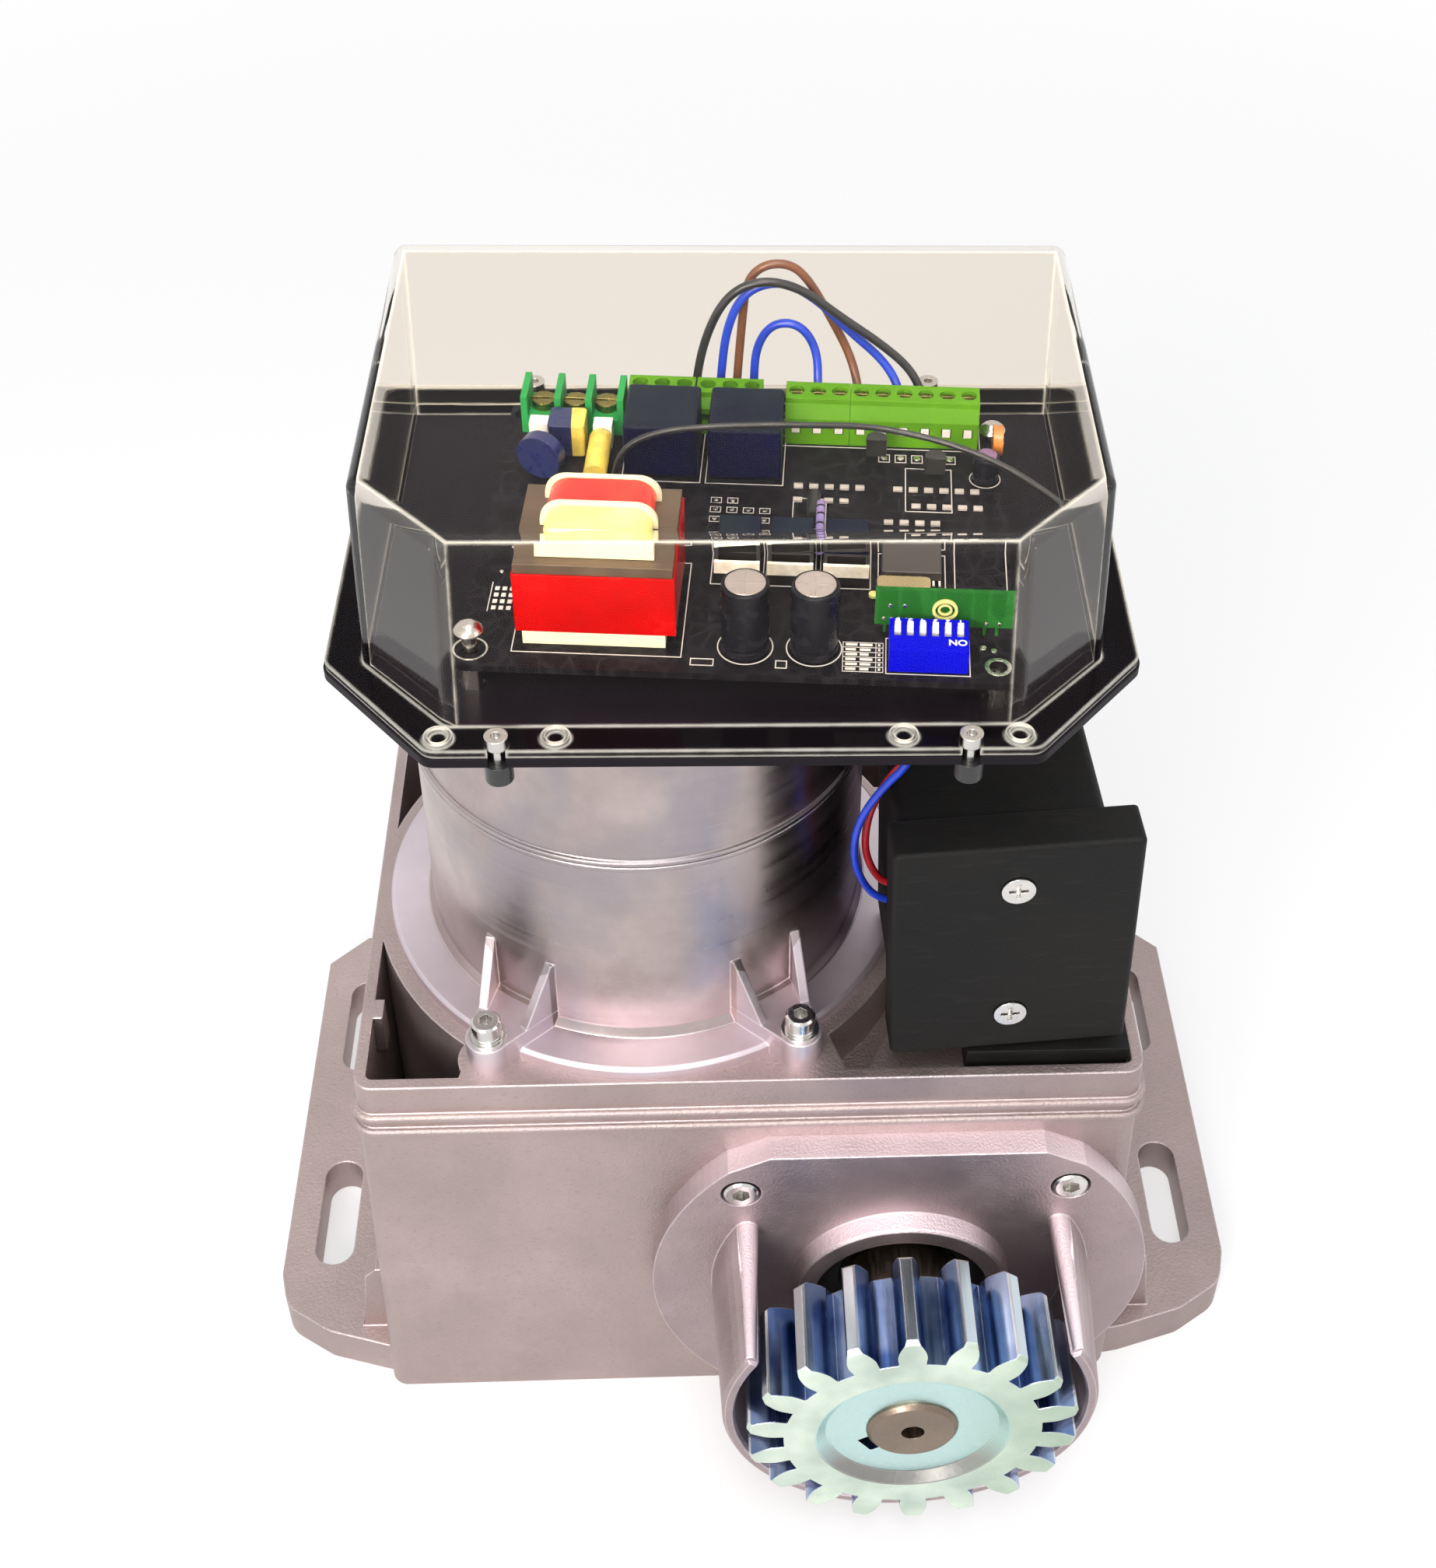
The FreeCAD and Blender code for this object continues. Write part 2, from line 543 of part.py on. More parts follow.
def motor_lower_shield():
    top = SEAM_Z - 0.2
    profile = [(13.0, 121.0), (36.0, 121.0), (36.0, BODY_TOP), (DISC_R, BODY_TOP),
               (DISC_R, BODY_TOP + DISC_T - 0.8), (DISC_R - 0.8, BODY_TOP + DISC_T),
               (MOTOR_R + 1.6, BODY_TOP + DISC_T), (MOTOR_R + 0.3, BODY_TOP + DISC_T + 2.5),
               (MOTOR_R, top - 1.6), (MOTOR_R + 0.7, top - 1.2), (MOTOR_R + 0.7, top), (BORE_R, top),
               (BORE_R, 148.0), (44.0, 142.0), (32.0, 139.0), (30.0, 143.5), (13.0, 143.5)]
    body = revolve(profile, V(MOTOR_X, MOTOR_Y, 0))
    barrel = cyl(BORE_R + 0.5, 80, motor_point(BODY_TOP + 1))
    ears = [motor_ear(x, y).cut(barrel) for x, y in ear_points()]
    body = fuse([body] + ears)
    body = body.cut(cyl(16.0, 7.0, motor_point(120.9)))
    body = body.cut(cyl(23.5, 20.0, motor_point(129.5)))
    return body.removeSplitter()


def motor_upper_shield():
    low = SEAM_Z + 0.2
    profile = [(BORE_R, low), (MOTOR_R + 0.7, low), (MOTOR_R + 0.7, low + 1.0), (MOTOR_R, low + 1.4),
               (MOTOR_R, MOTOR_TOP - 6), (MOTOR_R - 1.8, MOTOR_TOP - 1.8), (MOTOR_R - 6, MOTOR_TOP),
               (0, MOTOR_TOP), (0, MOTOR_TOP - 3.5), (20.0, MOTOR_TOP - 3.5), (20.0, MOTOR_TOP - 16.0),
               (25.0, MOTOR_TOP - 16.0), (26.0, MOTOR_TOP - 5.0), (44.0, MOTOR_TOP - 5.5), (BORE_R, 214.0)]
    body = revolve(profile, V(MOTOR_X, MOTOR_Y, 0))
    for x, y in pillar_points():
        body = body.cut(cyl(2.1, 8, V(x, y, MOTOR_TOP - 7)))
    return body


def pillar_points():
    return [(MOTOR_X + 38 * math.cos(a), MOTOR_Y + 38 * math.sin(a))
            for a in [math.radians(45 + 90 * k) for k in range(4)]]


def motor_screws():
    """Four cap screws, each on a spring washer and a flat washer."""
    group = []
    for x, y in ear_points():
        z = BODY_TOP + EAR_T
        group.append(ring(4.5, 2.2, 0.8, V(x, y, z)))
        group.append(ring(3.6, 2.2, 1.0, V(x, y, z + 0.8)))
        group.append(cap_screw(V(x, y, z + 1.8), Z_UP, 3.5, 4.0, 2.0, 20.0, 1.5))
    return group


def stator_core():
    core = cyl(BORE_R - 0.02, 44.0, motor_point(154.4))
    core = core.cut(cyl(29.0, 50.0, motor_point(152)))
    slots = []
    for k in range(24):
        a = 2 * math.pi * k / 24
        slot = box(29.5, 40.0, -1.6, 1.6, 148, 200)
        slots.append(turned(slot, math.degrees(a), V(0, 0, 0)))
    comb = Part.makeCompound(slots)
    comb.translate(V(MOTOR_X, MOTOR_Y, 0))
    return core.cut(comb)


def stator_windings():
    group = []
    for low, high in ((144.6, 153.8), (199.0, 209.6)):
        coil = revolve([(31.5, low + 1.2), (33.5, low), (42.0, low), (44.5, low + 2.0), (44.5, high - 2.0),
                        (42.0, high), (33.5, high), (31.5, high - 1.2)], V(MOTOR_X, MOTOR_Y, 0))
        group.append(coil)
    return group


def rotor_core():
    core = cyl(28.6, 44.0, motor_point(151.5)).cut(cyl(10.5 + FIT, 60.0, motor_point(140)))
    rings = [ring(26.0, 17.0, 5.0, motor_point(z)) for z in (146.5, 195.5)]
    return fuse([core] + rings)


# ---------------------------------------------------------------- control plate and cover
def octagon(half, front, rear, chamfer_x, chamfer_y, z0, z1):
    """Plan outline with both front corners cut off."""
    return prism([(-half + chamfer_x, front), (half - chamfer_x, front), (half, front + chamfer_y),
                  (half, rear), (-half, rear), (-half, front + chamfer_y)], z0, z1)


def upright_edges(shape):
    return [e for e in shape.Edges if len(e.Vertexes) == 2
            and abs(e.Vertexes[0].Point.x - e.Vertexes[1].Point.x) < 4
            and abs(e.Vertexes[0].Point.y - e.Vertexes[1].Point.y) < 4
            and abs(e.Vertexes[0].Point.z - e.Vertexes[1].Point.z) > 1]


def cover_place(shape):
    """The plate and the cover sit a little left of the body and turned a little clockwise."""
    return moved(turned(shape, COVER_TURN, V(0, -25, 0), Z_UP), COVER_X, 0, 0)


def cover_screw_points():
    return [(-47.0, -86.2), (47.0, -86.2), (-47.0, 37.4), (47.0, 37.4)]


def screw_notches():
    """Open notches for the cover screws at the front and rear edges."""
    cuts = []
    for x, y in cover_screw_points():
        out = -6 if y < 0 else 6
        cuts.append(cyl(1.8, 12, V(x, y, PLATE_Z - 3)))
        cuts.append(box(x - 1.8, x + 1.8, min(y, y + out), max(y, y + out), PLATE_Z - 3, PLATE_Z + 9))
    return Part.makeCompound(cuts)


def control_plate():
    plate = octagon(PLATE_HALF, PLATE_FRONT, PLATE_REAR, 23.4, 27.0, PLATE_Z, PLATE_Z + PLATE_T)
    plate = plate.makeFillet(4.0, upright_edges(plate))
    plate = cover_place(plate.cut(screw_notches()))
    for x, y in pillar_points():
        plate = plate.cut(cyl(2.2, 10, V(x, y, PLATE_Z - 2)))
    for u, v in board_hole_points():
        x, y = on_board(u, v)
        plate = plate.cut(cyl(1.6, 10, V(x, y, PLATE_Z - 2)))
    # opening behind the board for the motor leads
    plate = plate.cut(box(-14, 24, 16, 27, PLATE_Z - 1, PLATE_Z + 5))
    return plate


def board_hole_points():
    return [(2.6, 5.0), (109.4, 5.2), (2.6, 86.6), (110.4, 84.2)]


def on_board(u, v):
    a = math.radians(BOARD_TURN)
    return (BOARD_X + u * math.cos(a) - v * math.sin(a), BOARD_Y + u * math.sin(a) + v * math.cos(a))


def place(shape):
    """Move a shape drawn in board coordinates (u right, v back, height above the board) into place."""
    copy = shape.copy()
    copy.rotate(V(0, 0, 0), Z_UP, BOARD_TURN)
    copy.translate(V(BOARD_X, BOARD_Y, BOARD_Z))
    return copy


def clear_cover():
    """Thin clear moulding: drafted walls, rounded edges and a flange on the plate."""
    z0 = PLATE_Z + PLATE_T

    def wire(inset, z, lean):
        h = COVER_HALF - inset - lean
        f = COVER_FRONT + inset + lean * 0.6
        r = COVER_REAR - inset - lean * 1.8
        cx = 18.7
        cy = 19.6
        pts = [(-h + cx, f), (h - cx, f), (h, f + cy), (h, r), (-h, r), (-h, f + cy)]
        corners = [V(x, y, z) for x, y in pts]
        return Part.makePolygon(corners + corners[:1])

    outer = Part.makeLoft([wire(0, z0, 0), wire(0, COVER_TOP, 1.7)], True, True)
    outer = outer.makeFillet(3.0, [e for e in outer.Edges if min(v.Point.z for v in e.Vertexes) > z0 + 1
                                   or e in upright_edges(outer)] + upright_edges(outer))
    inner = Part.makeLoft([wire(COVER_WALL, z0 - 1, 0), wire(COVER_WALL, COVER_TOP - COVER_WALL, 1.7)],
                          True, True)
    flange = octagon(PLATE_HALF - 0.4, PLATE_FRONT + 0.4, PLATE_REAR - 0.4, 23.4, 27.0, z0, z0 + CLEAR_T)
    flange = flange.makeFillet(4.0, upright_edges(flange))
    body = flange.fuse(outer).cut(inner).cut(screw_notches())
    # small moulded rings along the front edge of the flange
    for x in (-58.7, -35.5, 33.7, 57.0):
        body = body.fuse(ring(2.9, 2.0, 1.0, V(x, COVER_FRONT - 3.5, z0 + CLEAR_T)))
    return cover_place(body)


# ---------------------------------------------------------------- limit switch
def limit_place(shape):
    corner = V(LIMIT_X, LIMIT_FRONT, LIMIT_Z)
    return turned(turned(shape, LIMIT_ROLL, corner, Y_BACK), LIMIT_TURN, corner, Z_UP)


def limit_cover():
    """Front lid: shallow tray with rounded edges, open to the back."""
    x0 = LIMIT_X - LIMIT_W / 2
    x1 = LIMIT_X + LIMIT_W / 2
    lid = box(x0, x1, LIMIT_FRONT, LIMIT_FRONT + LIMIT_DEPTH, LIMIT_Z, LIMIT_Z + LIMIT_H)
    front = [e for e in lid.Edges if e.BoundBox.YMax < LIMIT_FRONT + 0.1
             or (e.BoundBox.YLength > LIMIT_DEPTH - 1)]
    lid = lid.makeFillet(1.4, front)
    hollow = box(x0 + 2, x1 - 2, LIMIT_FRONT + 2.2, LIMIT_FRONT + 16, LIMIT_Z + 2, LIMIT_Z + LIMIT_H - 2)
    lid = lid.cut(hollow)
    for z in (LIMIT_Z + 12.5, LIMIT_Z + 54.0):
        lid = lid.fuse(cyl(4.2, LIMIT_DEPTH - 0.6, V(LIMIT_X, LIMIT_FRONT + 0.4, z), Y_BACK))
    for z in (LIMIT_Z + 12.5, LIMIT_Z + 54.0):
        lid = lid.cut(cyl(1.8, 20, V(LIMIT_X, LIMIT_FRONT - 1, z), Y_BACK))
        lid = lid.cut(Part.makeCone(4.0, 1.8, 2.4, V(LIMIT_X, LIMIT_FRONT, z), Y_BACK))
    return limit_place(lid)


def limit_box():
    """Rear half of the limit switch box, narrower than the lid."""
    x0 = LIMIT_X - LIMIT_W / 2 + 2.2
    x1 = LIMIT_X + LIMIT_W / 2 - 7
    y0 = LIMIT_FRONT + LIMIT_DEPTH
    y1 = y0 + 36
    z0 = LIMIT_Z + 1
    z1 = LIMIT_Z + LIMIT_H - 1
    body = box(x0, x1, y0, y1, z0, z1)
    body = body.makeFillet(2.0, [e for e in body.Edges if e.BoundBox.YLength > 20])
    body = body.cut(box(x0 + 2.2, x1 - 2.2, y0 - 1, y1 - 2.2, z0 + 2.2, z1 - 2.2))
    for z in (LIMIT_Z + 12.5, LIMIT_Z + 54.0):
        post = cyl(4.0, 36, V(LIMIT_X, y0, z), Y_BACK).cut(cyl(1.4, 20, V(LIMIT_X, y0 - 1, z), Y_BACK))
        body = body.fuse(post)
    # way in for the two leads, low in the left side
    return limit_place(body).cut(box(30.0, 37.2, -54.0, -45.5, 150.5, 161.5))


def limit_screws():
    group = []
    for z in (LIMIT_Z + 12.5, LIMIT_Z + 54.0):
        seat = V(LIMIT_X, LIMIT_FRONT, z)
        head = Part.makeCone(3.8, 1.6, 2.3, seat + V(0, 0.05, 0), Y_BACK)
        dome = cyl(3.8, 0.7, seat + V(0, -0.65, 0), Y_BACK)
        screw = head.fuse(dome).fuse(cyl(1.35, 24, seat + V(0, 1.0, 0), Y_BACK))
        for turn in (0, 90):
            slot = box(seat.x - 2.2, seat.x + 2.2, seat.y - 1, seat.y + 1.1, z - 0.45, z + 0.45)
            screw = screw.cut(turned(slot, turn, seat, Y_BACK))
        group.append(limit_place(screw))
    return group


def limit_reeds():
    """Sensor board in the box with two glass reed switches on it."""
    board = box(LIMIT_X - 20, LIMIT_X + 14, LIMIT_FRONT + 19, LIMIT_FRONT + 20.6, LIMIT_Z + 20, LIMIT_Z + 46)
    group = [board]
    for z in (LIMIT_Z + 27, LIMIT_Z + 39):
        group.append(cyl(1.4, 14, V(LIMIT_X - 12, LIMIT_FRONT + 17.2, z), X_RIGHT))
    return [limit_place(s) for s in group]


def limit_foot():
    """Angle bracket that carries the box on the chamber roof."""
    shelf = BODY_TOP - 6
    x0 = 51.0
    x1 = 89.4
    base = box(x0, x1, -76.5, LIMIT_FRONT + 46, shelf, shelf + 4)
    front = box(x0, x1, -76.5, LIMIT_FRONT + 12, shelf, shelf + 8.6)
    post = box(x0, x1 - 9, LIMIT_FRONT + 40, LIMIT_FRONT + 46, shelf, LIMIT_Z + 4)
    seat = box(LIMIT_X - 50, LIMIT_X + 50, LIMIT_FRONT, LIMIT_FRONT + 60, LIMIT_Z + 1, LIMIT_Z + 20)
    body = fuse([base, front, post.cut(limit_place(seat))])
    for x in (x0 + 7, x1 - 7):
        body = body.cut(cyl(2.2, 20, V(x, LIMIT_FRONT + 25, shelf - 1)))
    return body


# ---------------------------------------------------------------- circuit board
def circuit_board():
    board = box(0, BOARD_W, 0, BOARD_D, -BOARD_T, 0)
    for u, v in board_hole_points():
        board = board.cut(cyl(1.7, 4, V(u, v, -3)))
    return place(board)


def board_standoffs():
    """Hexagon pillars under the board, with the pan head screws that hold it."""
    group = []
    gap = BOARD_Z - BOARD_T - PLATE_Z - PLATE_T
    for k, (u, v) in enumerate(board_hole_points()):
        corners = [V(u + 3.0 * math.cos(i * math.pi / 3), v + 3.0 * math.sin(i * math.pi / 3), -BOARD_T)
                   for i in range(7)]
        post = Part.Face(Part.makePolygon(corners)).extrude(V(0, 0, -gap))
        if k in (1, 2):
            group.append(place(post))
            continue
        tall = 3.0 if k == 0 else 0.0
        screw = cyl(1.5, 3.4 + tall, V(u, v, -BOARD_T))
        head = Part.makeSphere(3.4, V(u, v, 0.6 + tall)).common(cyl(3.0, 2.6, V(u, v, 1.8 + tall)))
        group.append(place(fuse([post, screw, head])))
    return group


def transformer_core():
    core = box(12.1, 43.8, 7.6, 33.2, 8.2, 20.2)
    core = core.cut(box(18.0, 38.0, 11.8, 29.0, 5, 30))
    core = core.fuse(box(23.5, 32.5, 7.6, 33.2, 8.2, 20.2))
    return place(core)


def transformer_tape():
    """Red tape round the lower part of the core."""
    tape = box(11.7, 44.2, 7.2, 33.6, 3.4, 17.9).cut(box(12.1, 43.8, 7.6, 33.2, 2, 30))
    floor = box(12.1, 43.8, 7.6, 33.2, 3.4, 4.4)
    return place(tape.fuse(floor))


def arch(u0, u1, v0, v1, low, high, radius):
    """Coil block with rounded top corners, as seen from the front."""
    block = box(u0, u1, v0, v1, low, high)
    return block.makeFillet(radius, [e for e in block.Edges if e.BoundBox.ZMin > high - 0.1
                                     and e.BoundBox.YLength > 1])


def transformer_bobbin():
    flanges = [arch(16.2, 40.0, v, v + 1.2, 20.3, 26.0, 4.6) for v in (10.2, 19.6, 28.6)]
    base = box(13.0, 42.0, 7.4, 32.0, 0, 3.3)
    return [place(s) for s in flanges + [base]]


def transformer_windings():
    front = arch(17.2, 39.0, 11.5, 19.5, 20.3, 25.4, 4.4)
    rear = arch(17.2, 39.0, 20.9, 28.5, 20.3, 25.7, 4.4)
    return [place(front), place(rear)]


def power_relays():
    group = []
    for u in (28.2, 46.8):
        can = box(u, u + 16.2, 64.1, 81.2, 0.4, 13.5)
        group.append(place(can.makeFillet(0.8, can.Edges)))
    return group


TERMINAL_PITCH = 4.84
TERMINALS = ((63.3, 79.0, 3), (77.9, 79.0, 6))
REAR_TERMINALS = ((27.6, 81.6, 3), (43.0, 81.6, 3))


def terminal_body(u0, v0, poles, pitch=TERMINAL_PITCH, depth=8.6, height=11.0):
    """Row of wire clamps: screw holes on top, square wire windows in front."""
    body = side_block(u0, v0, poles * pitch, depth, height)
    for k in range(poles):
        u = u0 + pitch * (k + 0.5)
        body = body.cut(cyl(1.75, 4.0, V(u, v0 + 5.4, height - 3.0)))
        body = body.cut(box(u - 1.1, u + 1.1, v0 - 1, v0 + 5.0, 3.0, 5.4))
        body = body.cut(box(u - 1.5, u + 1.5, v0 + depth - 2.4, v0 + depth + 1, 2.4, 6.0))
    return body


def side_block(u0, v0, length, depth, height):
    """Terminal block outline: sloping front shoulder, extruded along the row."""
    pts = [(v0, 0), (v0, 6.8), (v0 + 1.8, height - 1.2), (v0 + 2.0, height), (v0 + depth, height),
           (v0 + depth, 0)]
    corners = [V(u0, v, z) for v, z in pts]
    return outward(Part.Face(Part.makePolygon(corners + corners[:1])).extrude(V(length, 0, 0)))


def terminal_blocks():
    front = [terminal_body(u, v, n) for u, v, n in TERMINALS]
    rear = [terminal_body(u, v, n, pitch=5.0, depth=8.0, height=10.0) for u, v, n in REAR_TERMINALS]
    return [place(s) for s in front + rear]


def terminal_screws():
    group = []
    for u0, v0, n in TERMINALS:
        for k in range(n):
            u = u0 + TERMINAL_PITCH * (k + 0.5)
            screw = cyl(1.55, 2.0, V(u, v0 + 5.4, 7.4 + 0.8))
            screw = screw.cut(box(u - 2, u + 2, v0 + 5.1, v0 + 5.7, 9.6, 12))
            group.append(place(screw))
    return group


def barrier_terminal():
    base = box(3.6, 26.8, 79.8, 90.0, 0, 4.0)
    fins = [box(u, u + 1.5, 79.8, 90.0, 3.0, 9.5) for u in (3.6, 11.2, 18.2, 25.3)]
    return place(fuse([base] + fins))


def barrier_screws():
    group = []
    for u in (8.1, 15.4, 22.5):
        head = cyl(2.7, 1.8, V(u, 85.2, 4.1)).cut(box(u - 3, u + 3, 84.8, 85.6, 5.2, 7))
        group.append(place(head))
    return group


def blade_sockets():
    """Pale plug blocks in front of the barrier terminal."""
    return [place(box(u, u + 4.2, 74.6, 78.2, 0.1, 6.0)) for u in (6.0, 20.4)]


def capacitors():
    group = []
    for u, v, r, h in ((58.1, 8.8, 4.9, 16.5), (72.1, 9.0, 4.9, 16.5), (108.4, 68.0, 2.9, 6.4)):
        can = cyl(r, h, V(u, v, 0.2))
        can = can.cut(ring(r + 1, r - 0.35, 0.9, V(u, v, 1.6)))
        top = [e for e in can.Edges if e.BoundBox.ZMin > h]
        group.append(place(can.makeFillet(0.5, top[:1])))
    return group


def suppressors():
    """Fuse in clips, film capacitor, disc varistor and disc capacitor at the back of the board."""
    fuse_tube = cyl(2.6, 14.0, V(22.2, 60.0, 3.2), Y_BACK)
    film = box(10.8, 18.8, 71.0, 78.6, 0.2, 8.0)
    varistor = cyl(5.2, 3.2, V(9.6, 62.0, 5.8), V(0.35, 1, 0).normalize())
    disc = cyl(3.4, 2.2, V(110.0, 81.0 - 5.2, 5.2), X_RIGHT)
    film = film.makeFillet(0.8, [e for e in film.Edges if e.BoundBox.ZLength > 5])
    return [place(s) for s in (fuse_tube, film, varistor, disc)]


def small_relays():
    group = []
    for u in (50.7, 61.9, 73.6):
        can = box(u, u + 9.0, 34.6, 44.6, 0.2, 5.6)
        group.append(place(can.makeFillet(0.5, can.Edges)))
    return group


def pin_headers():
    """Cream plug sockets in front of the small relays."""
    group = []
    for u in (50.4, 61.6, 73.3):
        shroud = box(u, u + 9.6, 29.4, 33.6, 0, 5.2).cut(box(u + 0.8, u + 8.8, 30.2, 32.8, 1.2, 7))
        group.append(place(shroud))
    return group


def logic_chip():
    body = box(85.6, 98.2, 31.6, 39.0, 0.3, 2.6)
    group = [place(body.makeFillet(0.3, body.Edges))]
    for k in range(10):
        u = 86.2 + 1.27 * k
        for v in (30.2, 38.9):
            group.append(place(box(u, u + 0.45, v, v + 1.5, 0.0, 0.45)))
    return group


def crystal():
    can = box(84.6, 95.8, 25.0, 29.0, 0.1, 3.6)
    return place(can.makeFillet(1.2, [e for e in can.Edges if e.BoundBox.ZLength > 3]))


def receiver_board():
    board = box(84.2, 112.4, 14.6, 15.8, 2.4, 11.4)
    pins = [box(u, u + 0.6, 14.9, 15.5, 0.0, 3.0) for u in (86, 88.5, 91, 93.5, 106.5, 109)]
    return place(fuse([board] + pins))


def small_parts():
    """Chip resistors, diodes and transistors scattered in rows."""
    group = []
    rows = ((66, 62, 5), (66, 57, 4), (88, 62, 6), (92, 56, 5), (86, 50, 4), (28, 40, 3))
    for u0, v, n in rows:
        for k in range(n):
            u = u0 + 3.4 * k
            group.append(place(box(u, u + 2.0, v, v + 1.25, 0.05, 0.65)))
    for u, v in ((84.0, 72.0), (97.0, 66.0)):
        body = cyl(2.3, 4.4, V(u, v, 3.0)).cut(box(u - 3, u + 3, v - 3, v - 1.0, 2, 9))
        group.append(place(body))
    diode = cyl(1.5, 8.0, V(70.6, 49.0, 2.2), Y_BACK)
    group.append(place(diode))
    return group


DIP_U = 87.2
DIP_V = 2.5
DIP_L = 16.0
DIP_D = 9.9
DIP_H = 6.0
DIP_PITCH = 2.54
DIP_TRAVEL = 1.6


def dip_centre(k):
    return DIP_U + DIP_L / 2 + (k - 2.5) * DIP_PITCH


def dip_switch():
    body = box(DIP_U, DIP_U + DIP_L, DIP_V, DIP_V + DIP_D, 0.2, DIP_H)
    for k in range(6):
        u = dip_centre(k)
        body = body.cut(box(u - 0.75, u + 0.75, DIP_V + 4.6, DIP_V + 8.4, 3.6, DIP_H + 1))
    return place(body)


def dip_slider(k):
    """Rocker slide, shown pushed to the back; it travels forward by DIP_TRAVEL."""
    u = dip_centre(k)
    rear = DIP_V + 8.2
    foot_piece = box(u - 0.68, u + 0.68, rear - 1.9, rear, 3.8, 5.6)
    knob = box(u - 0.6, u + 0.6, rear - 1.7, rear - 0.2, 5.5, DIP_H + 0.9)
    return place(foot_piece.fuse(knob))


# ---------------------------------------------------------------- screws, pillars
def plate_pillars():
    group = []
    for x, y in pillar_points():
        corners = [V(x + 4.0 * math.cos(i * math.pi / 3), y + 4.0 * math.sin(i * math.pi / 3), MOTOR_TOP)
                   for i in range(7)]
        post = Part.Face(Part.makePolygon(corners)).extrude(V(0, 0, PLATE_Z - MOTOR_TOP))
        group.append(fuse([post, cyl(2.0, 6, V(x, y, MOTOR_TOP - 6))]))
    return group


def cover_screws():
    """Bright screws in the notches of the plate and the cover."""
    group = []
    top = PLATE_Z + PLATE_T + CLEAR_T + 0.05
    for x, y in cover_screw_points():
        head = cyl(2.4, 2.6, V(x, y, top)).cut(cyl(1.0, 1.6, V(x, y, top + 1.2)))
        group.append(cover_place(fuse([head, cyl(1.45, 9.0, V(x, y, top - 9.0))])))
    return group


def cover_nuts():
    """Black round nuts under the plate."""
    return [cover_place(ring(2.9, 1.5, 4.6, V(x, y, PLATE_Z - 4.7))) for x, y in cover_screw_points()]


# ---------------------------------------------------------------- wires
WIRE_R = 1.0
BROWN_ROUTE = [(-2.0, 19.5, 228.2), (-1.8, 21.2, 239.0), (-1.2, 23.2, 253.0), (0.0, 24.2, 268.0),
               (1.0, 24.2, 278.9), (5.1, 24.2, 283.0), (10.9, 24.2, 283.0), (15.0, 24.2, 278.9),
               (19.8, 23.8, 270.0), (24.9, 22.6, 260.0), (26.9, 18.0, 253.0), (26.8, 10.6, 252.2)]
BLUE_ROUTE = [(-6.0, 19.5, 228.2), (-5.8, 20.6, 240.0), (-5.0, 21.8, 254.0), (-3.6, 22.0, 268.0),
              (0.5, 22.0, 277.4), (8.5, 22.0, 280.2), (16.5, 21.8, 275.6), (24.0, 21.4, 267.5),
              (33.0, 20.2, 259.4), (36.6, 16.6, 253.0), (36.4, 9.8, 252.2)]
BLACK_ROUTE = [(-10.0, 19.0, 228.2), (-10.6, 19.6, 240.0), (-11.0, 19.8, 253.0),
               (-8.5, 19.8, 267.0), (-3.4, 19.8, 278.0), (4.5, 19.8, 281.8), (13.5, 19.8, 279.2),
               (22.0, 19.7, 272.0), (31.4, 19.5, 265.0), (38.6, 18.6, 258.6), (41.5, 15.4, 253.0),
               (41.3, 9.4, 252.2)]
INNER_BLUE_ROUTE = [(3.0, 20.5, 228.2), (2.6, 22.4, 240.0), (2.7, 23.6, 252.0), (3.2, 23.6, 262.0),
                    (7.0, 23.2, 268.4), (13.2, 22.2, 268.6), (17.2, 21.2, 262.4), (17.3, 17.4, 253.8),
                    (17.1, 11.2, 252.2)]
INNER_BROWN_ROUTE = [(8.0, 20.5, 228.2), (7.8, 22.2, 237.2), (8.2, 23.9, 246.3), (9.4, 21.6, 250.8),
                     (11.4, 17.2, 253.1), (12.3, 11.6, 252.2)]
LIMIT_BLUE_ROUTE = [(36.0, -60.0, 236.4), (36.8, -59.6, 223.0), (35.4, -58.6, 209.0), (29.2, -57.4, 199.6),
                    (24.4, -56.0, 188.0), (23.6, -54.4, 175.0), (26.4, -52.6, 164.0), (30.8, -51.4, 156.8),
                    (36.8, -50.8, 155.0)]
LIMIT_RED_ROUTE = [(39.0, -57.2, 236.4), (39.4, -57.0, 223.0), (36.8, -56.0, 209.4), (30.6, -54.8, 200.2),
                   (26.9, -53.4, 188.0), (26.4, -51.8, 175.4), (28.6, -50.0, 166.0), (32.0, -48.8, 159.6),
                   (36.9, -48.2, 158.0)]
ANTENNA_ROUTE = [(-29.0, -13.4, 248.2), (-28.8, -13.2, 255.0), (-25.4, -12.4, 260.8), (-18.0, -11.6, 263.4),
                 (-6.0, -10.9, 264.0), (6.0, -10.6, 264.0), (16.5, -10.0, 263.3), (26.0, -9.0, 262.3),
                 (34.0, -9.9, 261.3), (42.0, -12.2, 260.6), (52.2, -16.8, 259.4), (61.4, -23.2, 257.4),
                 (69.0, -30.6, 255.2)]


